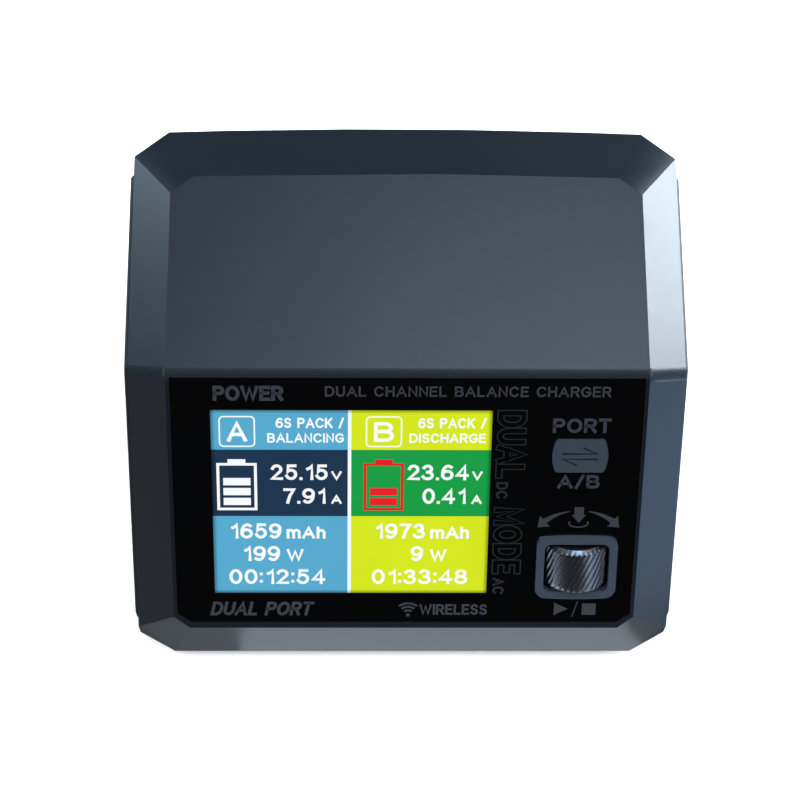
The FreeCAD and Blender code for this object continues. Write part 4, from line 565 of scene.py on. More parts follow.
def glowing(name, colour, strength=0.98):
    """A lit part of the picture: black glass that gives off one colour."""
    material = bpy.data.materials.new(name)
    material.use_nodes = True
    tree = material.node_tree
    shader = tree.nodes["Principled BSDF"]
    surface = tree.nodes.new("ShaderNodeGroup")
    surface.node_tree = BACKLIGHT
    surface.inputs["Colour"].default_value = linear(*colour)
    tree.links.new(surface.outputs["Colour"], shader.inputs["Emission Color"])
    tree.links.new(surface.outputs["Roughness"], shader.inputs["Roughness"])
    shader.inputs["Base Color"].default_value = (0.004, 0.004, 0.004, 1)
    shader.inputs["Emission Strength"].default_value = strength
    return material


GLOW_BLUE = glowing("display light blue", (87, 171, 207))
GLOW_NAVY = glowing("display navy", (28, 52, 78))
GLOW_LIME = glowing("display lime", (215, 234, 30))
GLOW_GREEN = glowing("display green", (22, 158, 69))
GLOW_WHITE = glowing("display white", (250, 253, 255))
GLOW_RED = glowing("display red", (232, 30, 40))
DARK_GLASS = finish("dark display glass", (10, 12, 14), roughness=0.06, depth=0.01, coat=0.3)
INK = finish("grey printing ink", (66, 67, 76), roughness=0.5, depth=0.1)
INK_DARK = finish("dark outline ink", (36, 37, 43), roughness=0.5, depth=0.1)
# The dark colour of the button's engraved arrows, laid on as a thin layer.
ARROW_DARK = finish("dark engraved arrows", (20, 27, 36), roughness=0.5, depth=0.1)
FLOOR = finish("pale floor", (247, 248, 249), roughness=0.7, depth=0.05, Grain_per_metre=300.0,
               Colour_drift=0.01)
floor.data.materials.append(FLOOR)
print("display colours ready")

# %% [markdown]
# ## A finish for every CAD node
# The CAD nodes keep their shape and only get a better surface. The list below says which finish each has. The
# nodes that show most are replaced further down by copies with softened edges.

# %% Assign finishes
FINISH_OF = {
    "case_slate": CASE, "panel_black": PANEL_BLACK, "lens_black": LENS_BLACK, "tape_black": TAPE,
    "foam_black": FOAM, "screen_glass": DARK_GLASS, "frame_steel": STEEL_SHEET, "flex_amber": FLEX,
    "board_green": BOARD, "bright_screw": BRIGHT_SCREW, "black_screw": BLACK_SCREW,
    "switch_black": BLACK_PART, "bezel_slate": BEZEL, "button_slate": BUTTON, "fish_paper": PAPER,
    "brass": BRASS, "socket_yellow": SOCKET, "header_white": HEADER, "gold_contact": GOLD,
    "tinned_pin": TIN, "ferrite": FERRITE, "capacitor_can": SLEEVE, "aluminium_sink": ALUMINIUM,
    "tape_yellow": WINDING, "film_yellow": FILM, "copper_coil": COPPER, "inlet_black": BLACK_PART,
    "lead_black": WIRE_BLACK, "lead_red": WIRE_RED, "fan_black": FAN, "steel_axle": AXLE,
    "sensor_ring": SENSOR, "wheel_metal": WHEEL_METAL, "foot_rubber": RUBBER}
slot_of = {part["node"]: part["material_slot"] for part in frame["record"]["subparts"]}
for name, node in frame["nodes"].items():
    node.data.materials.clear()
    node.data.materials.append(FINISH_OF[slot_of[name]])
print("finished", len(frame["nodes"]), "nodes")

# %% [markdown]
# ## Placing a new piece
# A new piece is shaped as a bmesh, becomes a mesh object, takes its finish and rides on a CAD body. `place`
# does that for all of them. `merge_into` adds one shape to another, for print and for repeated small parts that
# belong in one piece.

# %% Piece helpers
def place(shape, name, material, slot, body="root", turn=None, smooth_below=None):
    """Makes a piece of a bmesh. Turn is applied to the vertices. Edges flatter than smooth_below, in degrees, are
    shaded smooth, with the large faces kept flat."""
    if turn is not None:
        bmesh.ops.transform(shape, matrix=turn, verts=shape.verts)
    data = bpy.data.meshes.new(name)
    shape.to_mesh(data)
    shape.free()
    data.materials.append(material)
    if smooth_below is not None:
        data.shade_smooth()
        data.set_sharp_from_angle(angle=math.radians(smooth_below))
    piece = bpy.data.objects.new(name, data)
    bpy.context.scene.collection.objects.link(piece)
    if smooth_below is not None:
        flatter = piece.modifiers.new("flat large faces", "WEIGHTED_NORMAL")
        flatter.keep_sharp = True
        flatter.weight = 100
    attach(piece, body)
    print(f"{name}: {len(data.polygons)} faces on {body}")
    return piece


def merge_into(target, shape):
    """Adds a bmesh's faces to another one and frees it."""
    data = bpy.data.meshes.new("merging")
    shape.to_mesh(data)
    shape.free()
    target.from_mesh(data)
    bpy.data.meshes.remove(data)


# %% [markdown]
# ## Softened edges
# A moulded edge always has a small radius, and it is that radius that catches a thin line of light. A CAD
# node's mesh is loose triangles, so a copy is merged, its flat triangles are dissolved into whole faces and
# its sharp edges are bevelled. The copy then stands for the node. The button only has the rim of its top face
# softened, by one wide and flat bevel.

# %% Softened copies
MERGED = 0.004 * MM             # points nearer than this are one point


def softened(node, radius, sharp=24.0, shortest=0.4, segments=2, keep=None):
    """A copy of a node with its sharp edges rounded. Sizes in millimetres, angles in degrees."""
    shape = bmesh.new()
    shape.from_mesh(frame["nodes"][node].data)
    bmesh.ops.remove_doubles(shape, verts=shape.verts, dist=MERGED)
    bmesh.ops.dissolve_limit(shape, angle_limit=math.radians(0.6), use_dissolve_boundaries=False,
                             verts=shape.verts, edges=shape.edges, delimit={"NORMAL"})
    limit = math.radians(sharp)
    chosen = [edge for edge in shape.edges
              if len(edge.link_faces) == 2 and edge.calc_face_angle(0) > limit
              and edge.calc_length() > shortest * MM and (keep is None or keep(edge))]
    bmesh.ops.bevel(shape, geom=chosen, offset=radius * MM, offset_type="OFFSET", segments=segments,
                    profile=0.5, affect="EDGES", clamp_overlap=True, material=-1)
    return shape


def replace_softened(node, radius, smooth_below=40.0, **how):
    """Puts a softened copy in a node's place, with the node's own finish and body."""
    body = frame["nodes"][node]["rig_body"]
    piece = place(softened(node, radius, **how), node + "_skin", FINISH_OF[slot_of[node]], slot_of[node],
                  body, smooth_below=smooth_below)
    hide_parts(node)


replace_softened("upper_case", 0.35)
replace_softened("lower_case", 0.3)
replace_softened("wheel_bezel", 0.15)
BUTTON_TOP, BUTTON_RIM = 0.3, 0.75      # the button's face outward from the slope, and its rim's width
NEAR_TOP = 0.02


def on_button_rim(edge):
    """Whether both ends of an edge lie in the button's top face."""
    return all(abs((PANEL.inverted() @ vert.co).z - BUTTON_TOP) < NEAR_TOP for vert in edge.verts)


replace_softened("port_button", BUTTON_RIM, segments=1, smooth_below=20, keep=on_button_rim)

# %% [markdown]
# ## Print and picture
# The letters on such chargers are plain and even: every stroke has one thickness and round letters are near
# ellipses. Blender's built-in text is a different style, so the few signs that are needed are drawn here from
# straight strokes and bows. Each is given in a unit square with its own width, so one drawing serves every size.
# Ink and picture are very thin solids, a few hundredths of a millimetre proud of what carries them.

# %% Stroked signs
def bow(x, y, across, tall, start, end):
    """Points of an ellipse's arc, angles in degrees, about one point for every 15 degrees."""
    count = max(2, round(abs(end - start) / 15))
    turns = [math.radians(start + (end - start) * k / count) for k in range(count + 1)]
    return [(x + across * math.cos(t), y + tall * math.sin(t)) for t in turns]


P_BOWL = [(0, 1), (0.6, 1)] + bow(0.6, 0.74, 0.4, 0.26, 75, -75) + [(0.6, 0.48), (0, 0.48)]
SIX = [bow(0.5, 0.3, 0.5, 0.3, 0, 360), bow(0.58, 0.42, 0.58, 0.58, 58, 180) + [(0, 0.3)]]
SIGNS = {
    " ": (0.22, []), ".": (0.0, [[(0, 0), (0, 0.001)]]), "/": (0.36, [[(0, -0.04), (1, 1.04)]]),
    ":": (0.0, [[(0, 0.12), (0, 0.121)], [(0, 0.72), (0, 0.721)]]),
    "0": (0.58, [bow(0.5, 0.5, 0.5, 0.5, 0, 360)]),
    "1": (0.36, [[(1, 0), (1, 1), (0.8, 0.86), (0.3, 0.76)]]),
    "2": (0.56, [bow(0.48, 0.72, 0.46, 0.28, 165, -35) + [(0, 0), (1, 0)]]),
    "3": (0.56, [bow(0.46, 0.76, 0.42, 0.24, 155, -90), bow(0.46, 0.26, 0.52, 0.26, 90, -158)]),
    "4": (0.62, [[(0.76, 0), (0.76, 1), (0, 0.27), (1, 0.27)]]),
    "5": (0.57, [[(0.9, 1), (0.2, 1), (0.09, 0.5)] + bow(0.48, 0.33, 0.5, 0.33, 125, -158)]),
    "6": (0.58, SIX),
    "7": (0.54, [[(0, 1), (1, 1), (0.55, 0.5), (0.32, 0)]]),
    "8": (0.58, [bow(0.5, 0.76, 0.42, 0.24, 0, 360), bow(0.5, 0.26, 0.5, 0.26, 0, 360)]),
    "9": (0.58, [[(1 - x, 1 - y) for x, y in stroke] for stroke in SIX]),
    "A": (0.72, [[(0, 0), (0.5, 1), (1, 0)], [(0.2, 0.33), (0.8, 0.33)]]),
    "B": (0.6, [[(0, 0), (0, 1), (0.55, 1)] + bow(0.55, 0.76, 0.38, 0.24, 75, -75) + [(0.55, 0.52), (0, 0.52)],
                [(0.5, 0.52)] + bow(0.6, 0.26, 0.4, 0.26, 75, -75) + [(0.6, 0), (0, 0)]]),
    "C": (0.68, [bow(0.53, 0.5, 0.53, 0.5, 42, 318)]),
    "D": (0.64, [[(0, 0), (0, 1), (0.4, 1)] + bow(0.45, 0.5, 0.55, 0.5, 75, -75) + [(0.4, 0), (0, 0)]]),
    "E": (0.52, [[(1, 1), (0, 1), (0, 0), (1, 0)], [(0.1, 0.52), (0.88, 0.52)]]),
    "G": (0.7, [bow(0.53, 0.5, 0.53, 0.5, 42, 315) + [(1, 0.2), (1, 0.44), (0.6, 0.44)]]),
    "H": (0.6, [[(0, 0), (0, 1)], [(1, 0), (1, 1)], [(0.1, 0.52), (0.9, 0.52)]]),
    "I": (0.0, [[(0, 0), (0, 1)]]),
    "K": (0.6, [[(0, 0), (0, 1)], [(0.95, 1), (0.1, 0.4)], [(0.36, 0.6), (1, 0)]]),
    "L": (0.48, [[(0, 1), (0, 0), (1, 0)]]),
    "M": (0.72, [[(0, 0), (0, 1), (0.5, 0.2), (1, 1), (1, 0)]]),
    "N": (0.6, [[(0, 0), (0, 1), (1, 0), (1, 1)]]),
    "O": (0.74, [bow(0.5, 0.5, 0.5, 0.5, 0, 360)]),
    "P": (0.56, [[(0, 0)] + P_BOWL]),
    "R": (0.58, [[(0, 0)] + P_BOWL, [(0.6, 0.42), (1, 0)]]),
    "S": (0.56, [bow(0.5, 0.75, 0.44, 0.25, 25, 250) + bow(0.5, 0.25, 0.48, 0.25, 70, -155)]),
    "T": (0.58, [[(0, 1), (1, 1)], [(0.5, 0), (0.5, 0.9)]]),
    "U": (0.6, [[(0, 1)] + bow(0.5, 0.36, 0.5, 0.36, 180, 360) + [(1, 1)]]),
    "V": (0.68, [[(0, 1), (0.5, 0), (1, 1)]]),
    "W": (1.0, [[(0, 1), (0.26, 0), (0.5, 0.9), (0.74, 0), (1, 1)]]),
    "h": (0.44, [[(0, 0), (0, 1)], bow(0.5, 0.44, 0.5, 0.3, 165, 0) + [(1, 0)]]),
    "m": (0.8, [[(0, 0), (0, 0.74)], bow(0.25, 0.5, 0.25, 0.24, 165, 0) + [(0.5, 0)],
                bow(0.75, 0.5, 0.25, 0.24, 165, 0) + [(1, 0)]])}
print(len(SIGNS), "signs drawn")

# %% [markdown]
# A stroke is a ribbon: at every point of its line it has a spot on each side, and corners are mitred so that the
# thickness stays even. The ribbon is laid down as a row of faces and raised by one extrusion.

# %% Strokes and slabs
FACE = -0.4            # the lens's face, in panel millimetres outward from the hood's slope
INK_THICK = 0.03
SUNK = 0.01            # how far ink reaches into what carries it, so that no gap shows
MITRE_MOST = 1.7
SIGN_GAP = 0.31        # between two signs' lines, in capital heights


def raise_faces(ink, shape, thick):
    """Turns flat faces into a solid of a given thickness and adds it to the ink."""
    grown = bmesh.ops.extrude_face_region(shape, geom=list(shape.faces))["geom"]
    bmesh.ops.translate(shape, vec=(0, 0, thick + SUNK),
                        verts=[part for part in grown if isinstance(part, bmesh.types.BMVert)])
    bmesh.ops.recalc_face_normals(shape, faces=shape.faces)
    merge_into(ink, shape)


def slab(ink, spots, base=FACE, thick=INK_THICK):
    """A flat solid over an outline of panel points."""
    shape = bmesh.new()
    shape.faces.new([shape.verts.new((x, v, base - SUNK)) for x, v in spots])
    raise_faces(ink, shape, thick)


def ribbon(ink, spots, half, base=FACE, thick=INK_THICK, ends=1.0):
    """A stroke along a line of points. Half is half its thickness; ends says how far square ends reach out."""
    line = [Vector(spot) for spot in spots]
    closed = (line[0] - line[-1]).length < 1e-6
    if closed:
        line.pop()
    else:
        line[0] = line[0] + (line[0] - line[1]).normalized() * half * ends
        line[-1] = line[-1] + (line[-1] - line[-2]).normalized() * half * ends
    sides = []
    for index, spot in enumerate(line):
        before = line[index - 1] if closed or index else None
        after = line[(index + 1) % len(line)] if closed or index < len(line) - 1 else None
        runs = [run.normalized() for run in (spot - before if before else None, after - spot if after else None)
                if run is not None]
        along = sum(runs, Vector((0, 0))).normalized()
        out = Vector((-along.y, along.x)) * half
        out *= min(MITRE_MOST, 1 / max(0.1, along.dot(runs[0])))
        sides.append((spot + out, spot - out))
    shape = bmesh.new()
    pairs = [[shape.verts.new((*point, base - SUNK)) for point in pair] for pair in sides]
    for pair, following in zip(pairs, pairs[1:] + pairs[:1] * closed):
        shape.faces.new((pair[0], pair[1], following[1], following[0]))
    raise_faces(ink, shape, thick)


def rectangle(left, right, low, high):
    return [(left, low), (right, low), (right, high), (left, high)]


def frame_round(ink, left, right, low, high, half, radius=0.0, base=FACE):
    """A stroke round a rectangle, with square or round corners."""
    if not radius:
        spots = rectangle(left, right, low, high)
    else:
        spots = (bow(right - radius, low + radius, radius, radius, -90, 0)
                 + bow(right - radius, high - radius, radius, radius, 0, 90)
                 + bow(left + radius, high - radius, radius, radius, 90, 180)
                 + bow(left + radius, low + radius, radius, radius, 180, 270))
    ribbon(ink, spots + spots[:1], half, base)


def write(ink, words, x, v, tall, wide=None, align="LEFT", stretch=1.0, bold=0.17, slant=0.0, base=FACE,
          thick=INK_THICK, turn=None):
    """Writes words with their left end, middle or right end at x and their foot at v, in panel millimetres."""
    half = tall * bold / 2
    strokes, length = [], 0.0
    for sign in words:
        width, drawn = SIGNS[sign]
        strokes += [[(length + px * width, py) for px, py in stroke] for stroke in drawn]
        length += width + SIGN_GAP
    length -= SIGN_GAP
    unit = (wide - 2 * half) / length if wide else (tall - 2 * half) * stretch
    total = length * unit + 2 * half
    start = x - total * {"LEFT": 0.0, "CENTER": 0.5, "RIGHT": 1.0}[align]
    turn = turn or (lambda px, py: (px, py))
    for stroke in strokes:
        spots = []
        for px, py in stroke:
            rise = half + py * (tall - 2 * half)
            spots.append(turn(start + half + px * unit + slant * rise, v + rise))
        ribbon(ink, spots, half, base, thick)


print("strokes ready")

# %% [markdown]
# ## Lens
# The lens is one plate of acrylic, black behind except over the display. Modelled as a black plate with a window
# in it, it hides what it should at every angle. Four cuts and a bridge between the two rims open the window in a
# copy of the CAD plate, so its other edges stay exactly where the hood needs them.

# %% Lens plate
LENS_EDGE = 0.12                # the bevel on the lens's rims


def build_lens():
    shape = bmesh.new()
    shape.from_mesh(frame["nodes"]["front_lens"].data)
    bmesh.ops.remove_doubles(shape, verts=shape.verts, dist=MERGED)
    bmesh.ops.transform(shape, matrix=PANEL.inverted(), verts=shape.verts)
    for axis, cut in ((0, SCREEN_LEFT), (0, SCREEN_RIGHT), (1, SCREEN_LOW), (1, SCREEN_TOP)):
        spot = Vector((0, 0, 0))
        spot[axis] = cut
        facing = Vector((0, 0, 0))
        facing[axis] = 1
        bmesh.ops.bisect_plane(shape, geom=list(shape.verts) + list(shape.edges) + list(shape.faces),
                               dist=1e-4, plane_co=spot, plane_no=facing)
    inside = [face for face in shape.faces
              if SCREEN_LEFT < face.calc_center_median().x < SCREEN_RIGHT
              and SCREEN_LOW < face.calc_center_median().y < SCREEN_TOP]
    bmesh.ops.delete(shape, geom=inside, context="FACES")
    bmesh.ops.dissolve_limit(shape, angle_limit=math.radians(0.5), verts=shape.verts, edges=shape.edges)
    rims = [edge for edge in shape.edges if edge.is_boundary]
    bmesh.ops.bridge_loops(shape, edges=rims)
    bmesh.ops.recalc_face_normals(shape, faces=shape.faces)
    top = max(vert.co.z for vert in shape.verts)
    sharp = [edge for edge in shape.edges
             if all(abs(vert.co.z - top) < 0.01 for vert in edge.verts) and edge.calc_face_angle(0) > 1.0]
    bmesh.ops.bevel(shape, geom=sharp, offset=LENS_EDGE, offset_type="OFFSET", segments=2, profile=0.5,
                    affect="EDGES", clamp_overlap=True, material=-1)
    return shape


lens = place(build_lens(), "lens_plate", LENS_BLACK, "lens_black", turn=PANEL, smooth_below=30)
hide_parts("front_lens")

# %% [markdown]
# ## The picture on the display
# Two channels share one layout: a head with the channel's letter, a battery with voltage and current, and three
# lines of totals. One function draws a channel at its place across the screen, so both stay in line.

# %% Picture cells
PICTURE = FACE - 0.1            # the picture lies just under the lens's face
CELL_THICK = 0.25
SPLIT_LEFT, SPLIT_RIGHT = -13.55, -12.75        # the white line between the channels
SPLIT_PROUD = 0.02
HEAD_LOW, BATTERY_LOW = -19.75, -37.6           # the feet of the head and battery cells


def cell(name, colour, *boxes):
    """One colour of the picture's background, of one or more rectangles."""
    ink = bmesh.new()
    for box in boxes:
        slab(ink, rectangle(*box), PICTURE - CELL_THICK, CELL_THICK)
    place(ink, name, colour, "screen_glass", turn=PANEL)


cell("display_cells_blue", GLOW_BLUE, (SCREEN_LEFT, SPLIT_LEFT, HEAD_LOW, SCREEN_TOP),
     (SCREEN_LEFT, SPLIT_LEFT, SCREEN_LOW, BATTERY_LOW))
cell("display_cell_navy", GLOW_NAVY, (SCREEN_LEFT, SPLIT_LEFT, BATTERY_LOW, HEAD_LOW))
cell("display_cells_lime", GLOW_LIME, (SPLIT_RIGHT, SCREEN_RIGHT, HEAD_LOW, SCREEN_TOP),
     (SPLIT_RIGHT, SCREEN_RIGHT, SCREEN_LOW, BATTERY_LOW))
cell("display_cell_green", GLOW_GREEN, (SPLIT_RIGHT, SCREEN_RIGHT, BATTERY_LOW, HEAD_LOW))

# %% Batteries
BATTERY_WIDE, BATTERY_TALL, BATTERY_FOOT = 9.3, 12.7, -36.0
BATTERY_STROKE = 0.33                           # half the frame's stroke
CAP_IN, CAP_TALL, CAP_SUNK = 2.6, 1.0, 0.05
BAR_IN, BAR_FOOT, BAR_TALL, BAR_STEP = 1.5, 1.4, 1.95, 2.67


def battery(ink, left, bars):
    """A battery seen from the side: a frame, a cap and its charge bars."""
    right, high = left + BATTERY_WIDE, BATTERY_FOOT + BATTERY_TALL
    frame_round(ink, left + BATTERY_STROKE, right - BATTERY_STROKE, BATTERY_FOOT + BATTERY_STROKE,
                high - BATTERY_STROKE, BATTERY_STROKE, base=PICTURE)
    slab(ink, rectangle(left + CAP_IN, right - CAP_IN, high - CAP_SUNK, high + CAP_TALL), PICTURE)
    for bar in range(bars):
        low = BATTERY_FOOT + BAR_FOOT + BAR_STEP * bar
        slab(ink, rectangle(left + BAR_IN, right - BAR_IN, low, low + BAR_TALL), PICTURE)


print("battery drawn", BATTERY_WIDE, "by", BATTERY_TALL, "mm")

# %% [markdown]
# Lines of text share their size and weight, so these are set once. The places across a channel are measured from
# its left or right end, and the lines' feet down the panel from the crest of the hood.

# %% Channel contents
DIGIT_TALL, UNIT_TALL, SMALL_UNIT_TALL = 4.15, 3.3, 2.35
DIGIT_STRETCH, UNIT_STRETCH = 1.1, 1.24
HEAD_TALL, TASK_TALL, HEAD_IN = 2.65, 2.65 * 0.93, 0.9
HEAD_WIDE, TASK_SIGN_WIDE = 15.6, 1.95
HEAD_LINE, TASK_LINE = -14.0, -17.85
BADGE_IN, BADGE_WIDE, BADGE_FOOT, BADGE_TOP = 1.2, 8.0, -18.85, -11.05
BADGE_STROKE, BADGE_ROUND = 0.17, 1.0
LETTER_WIDE, LETTER_TALL, LETTER_FOOT = 4.6, 5.2, -17.6
NOW_LINE, NOW_STEP = -27.8, 6.4                 # volts and amps, beside the battery
NOW_IN, NOW_SHIFT, NOW_UNIT_IN, NOW_UNIT_WIDE, NOW_UNIT_BOLD = 4.6, 0.5, 2.6, 2.4, 0.22
TOTAL_LINE, TOTAL_STEP = -43.75, 6.25           # charge and power, below it
TOTAL_IN, TOTAL_SHIFT, TOTAL_UNIT_IN, TOTAL_UNIT_BOLD = 15.1, 0.4, 16.3, 0.2
CLOCK_LINE, CLOCK_MIDDLE, CLOCK_WIDE = -56.45, 14.0, 22.6
CHANNEL_A, CHANNEL_B = -44.1, -44.1 + 33.6      # the channels' left ends
CHANNEL_B_IN = 0.4                              # from channel B's right end to the screen's
BATTERY_A_IN, BATTERY_B_IN = 0.3, 0.6           # from a channel's left end to its battery
LIT = {"base": PICTURE, "bold": 0.175}


def channel(ink, left, right, letter, task, volts, amps, charge, power, clock):
    """The lit text of one channel, between its two ends in panel millimetres."""
    badge = left + BADGE_IN
    frame_round(ink, badge, badge + BADGE_WIDE, BADGE_FOOT, BADGE_TOP, BADGE_STROKE, BADGE_ROUND, PICTURE)
    write(ink, letter, badge + BADGE_WIDE / 2, LETTER_FOOT, LETTER_TALL, wide=LETTER_WIDE, align="CENTER",
          base=PICTURE)
    head_end = right - HEAD_IN
    write(ink, "6S PACK /", head_end, HEAD_LINE, HEAD_TALL, wide=HEAD_WIDE, align="RIGHT", **LIT)
    write(ink, task, head_end, TASK_LINE, TASK_TALL, wide=TASK_SIGN_WIDE * len(task), align="RIGHT", **LIT)
    for row, (number, unit) in enumerate(((volts, "V"), (amps, "A"))):
        line = NOW_LINE - NOW_STEP * row
        write(ink, number, right - NOW_IN - NOW_SHIFT * row, line, DIGIT_TALL, align="RIGHT",
              stretch=DIGIT_STRETCH, **LIT)
        write(ink, unit, right - NOW_UNIT_IN, line, SMALL_UNIT_TALL, wide=NOW_UNIT_WIDE, align="CENTER",
              base=PICTURE, bold=NOW_UNIT_BOLD)
    for row, (number, unit) in enumerate(((charge, "mAh"), (power, "W"))):
        line = TOTAL_LINE - TOTAL_STEP * row
        write(ink, number, left + TOTAL_IN - TOTAL_SHIFT * row, line, DIGIT_TALL, align="RIGHT",
              stretch=DIGIT_STRETCH, **LIT)
        write(ink, unit, left + TOTAL_UNIT_IN, line, UNIT_TALL, stretch=UNIT_STRETCH, base=PICTURE,
              bold=TOTAL_UNIT_BOLD)
    write(ink, clock, left + CLOCK_MIDDLE, CLOCK_LINE, DIGIT_TALL, wide=CLOCK_WIDE, align="CENTER", **LIT)


white = bmesh.new()
slab(white, rectangle(SPLIT_LEFT, SPLIT_RIGHT, SCREEN_LOW, SCREEN_TOP), PICTURE - CELL_THICK,
     CELL_THICK + SPLIT_PROUD)
channel(white, CHANNEL_A, SPLIT_LEFT, "A", "BALANCING",
        volts="25.15", amps="7.91", charge="1659", power="199", clock="00:12:54")
channel(white, CHANNEL_B, SCREEN_RIGHT - CHANNEL_B_IN, "B", "DISCHARGE",
        volts="23.64", amps="0.41", charge="1973", power="9", clock="01:33:48")
battery(white, CHANNEL_A + BATTERY_A_IN, bars=3)
place(white, "display_text_white", GLOW_WHITE, "screen_glass", turn=PANEL)
red = bmesh.new()
battery(red, CHANNEL_B + BATTERY_B_IN, bars=2)
place(red, "display_battery_red", GLOW_RED, "screen_glass", turn=PANEL)

# %% [markdown]
# ## Legends on the lens
# The legends are mid grey on black. They name the port button, show which way the wheel turns and presses, and
# give the charger's kind. Arrows are drawn from an arc and a few corners each, so they keep an even curve.

# %% Arrows and marks
BUTTON_X, BUTTON_V = 39.9, -21.0                # the middle of the button
PUSH_TOP, PUSH_TALL = -35.0, 4.3                # the arrow that points at the wheel
SHAFT_HALF, HEAD_HALF = 1.1, 1.65
TAIL_HALF, NECK_HALF, BARB_HALF = 0.08, 0.7, 1.9        # the turning arrows' half thicknesses
ARC_STROKE = 0.25                               # half the stroke of the wireless arcs


def turning_arrow(ink, sign, middle_v=-48.6, radius=12.6, tail=10, neck=39, tip=50, steps=10):
    """An arrow that bends round the wheel, thin at its tail. Sign is -1 for the left one, 1 for the right one."""
    def spot(angle, reach):
        turn = math.radians(angle)
        return (WHEEL_X + sign * reach * math.sin(turn), middle_v + reach * math.cos(turn))
    turns = [tail + (neck - tail) * step / steps for step in range(steps + 1)]
    halves = [TAIL_HALF + (NECK_HALF - TAIL_HALF) * step / steps for step in range(steps + 1)]
    rim = [spot(turn, radius + half) for turn, half in zip(turns, halves)]
    rim += [spot(neck, radius + BARB_HALF), spot(tip, radius - 0.1), spot(neck, radius - BARB_HALF)]
    rim += [spot(turn, radius - half) for turn, half in reversed(list(zip(turns, halves)))]
    slab(ink, rim)


def push_mark(ink):
    """A short arrow that points down into an open ring."""
    neck = PUSH_TOP - PUSH_TALL / 2
    left = [(-SHAFT_HALF, PUSH_TOP), (-SHAFT_HALF, neck), (-HEAD_HALF, neck)]
    right = [(-x, v) for x, v in reversed(left)]
    slab(ink, [(WHEEL_X + x, v) for x, v in left + [(0, PUSH_TOP - PUSH_TALL)] + right])
    ribbon(ink, bow(WHEEL_X, PUSH_TOP - PUSH_TALL - 0.1, 2.25, 1.1, 155, 385), 0.18, ends=0.0)


def wireless_mark(ink, x, v):
    """A dot with arcs above it."""
    slab(ink, bow(x, v, 0.45, 0.45, 0, 345))
    for reach in (1.35, 2.35, 3.35):
        ribbon(ink, bow(x, v, reach, reach, 50, 130), ARC_STROKE, ends=0.0)


def play_mark(ink, left=35.7, foot=-65.2, tall=3.6, wide=3.25):
    """A triangle that points right, a slanting line and a square: start and stop."""
    slab(ink, [(left, foot), (left + wide, foot + tall / 2), (left, foot + tall)])
    ribbon(ink, [(left + 4.4, foot - 0.3), (left + 5.6, foot + 3.9)], 0.13)
    slab(ink, rectangle(left + 6.7, left + 10.0, foot + 0.1, foot + 3.35))


print("marks ready")

# %% Printed legends
LEGENDS = [             # words, place, foot, height, width, alignment, boldness, slant
    ("PORT", 40.0, -15.1, 3.8, 13.4, "CENTER", 0.2, 0.0),
    ("A/B", BUTTON_X, -29.9, 3.6, 9.8, "CENTER", 0.2, 0.0),
    ("DUAL CHANNEL BALANCE CHARGER", 46.2, -5.75, 2.7, 65.0, "RIGHT", 0.17, 0.0),
    ("POWER", -44.2, -6.9, 3.9, 16.0, "LEFT", 0.22, 0.0),
    ("DUAL PORT", -46.2, -65.3, 3.9, 24.0, "LEFT", 0.19, 0.22),
    ("WIRELESS", 19.8, -65.1, 3.0, 16.2, "RIGHT", 0.18, 0.0)]

grey = bmesh.new()
for words, x, foot, tall, wide, align, bold, slant in LEGENDS:
    write(grey, words, x, foot, tall, wide=wide, align=align, bold=bold, slant=slant)
wireless_mark(grey, 0.9, -65.2)
for sign in (-1, 1):
    turning_arrow(grey, sign)
push_mark(grey)
play_mark(grey)
place(grey, "panel_legends", INK, "lens_black", turn=PANEL)

# %% [markdown]
# The tall signs beside the display run down the panel and show only their rims. Each is a thick grey stroke with
# a thinner black one laid on it, which leaves an even rim however the stroke bends. The small signs between them
# are plain.

# %% Rim legends
RIM_X = 20.5                            # the tall signs' feet, just right of the display
RIM_TALL, RIM_BOLD = 6.9, 0.24
CORE_IN, CORE_BOLD, CORE_THICK = 0.28, 0.175, 0.02
TALL_SIGNS = (("DUAL", 9.1, 18.2), ("MODE", 35.0, 18.6))        # words, start down the panel, length
SMALL_SIGNS = (("DC", 28.2), ("AC", 54.6))
SMALL_TALL, SMALL_WIDE, SMALL_BOLD, SMALL_IN = 2.8, 4.6, 0.2, 0.3


def down_panel(px, py):
    """Turns a line of text to read down the panel from a start at the display's upper right corner."""
    return (RIM_X + py, -px)


rims = bmesh.new()
cores = bmesh.new()
for words, start, length in TALL_SIGNS:
    write(rims, words, start, 0, RIM_TALL, wide=length, bold=RIM_BOLD, turn=down_panel)
    write(cores, words, start + CORE_IN, CORE_IN, RIM_TALL - 2 * CORE_IN, wide=length - 2 * CORE_IN,
          bold=CORE_BOLD, turn=down_panel, base=FACE + INK_THICK, thick=CORE_THICK)
for words, start in SMALL_SIGNS:
    write(rims, words, start, SMALL_IN, SMALL_TALL, wide=SMALL_WIDE, bold=SMALL_BOLD, turn=down_panel)
place(rims, "panel_rim_legends", INK_DARK, "lens_black", turn=PANEL)
place(cores, "panel_rim_cores", LENS_BLACK, "lens_black", turn=PANEL)

# %% [markdown]
# ## Arrows on the button
# Two half arrows, one each way, say that the button swaps the channels. They are drawn as a thin dark layer
# on the button's face where the real arrows are engraved, so they ride on its body and move in with it.

# %% Button arrows
def half_arrow(ink, sign, reach=3.9, rise=0.72, half=0.26, back=3.0, barb=1.5):
    """A shaft with one barb. Sign 1 points right and lies above the middle, -1 points left and lies below."""
    def spot(x, v):
        return (BUTTON_X + sign * x, BUTTON_V + sign * v)
    ribbon(ink, [spot(-reach, rise), spot(reach, rise), spot(reach - back, rise + barb)], half, BUTTON_TOP)


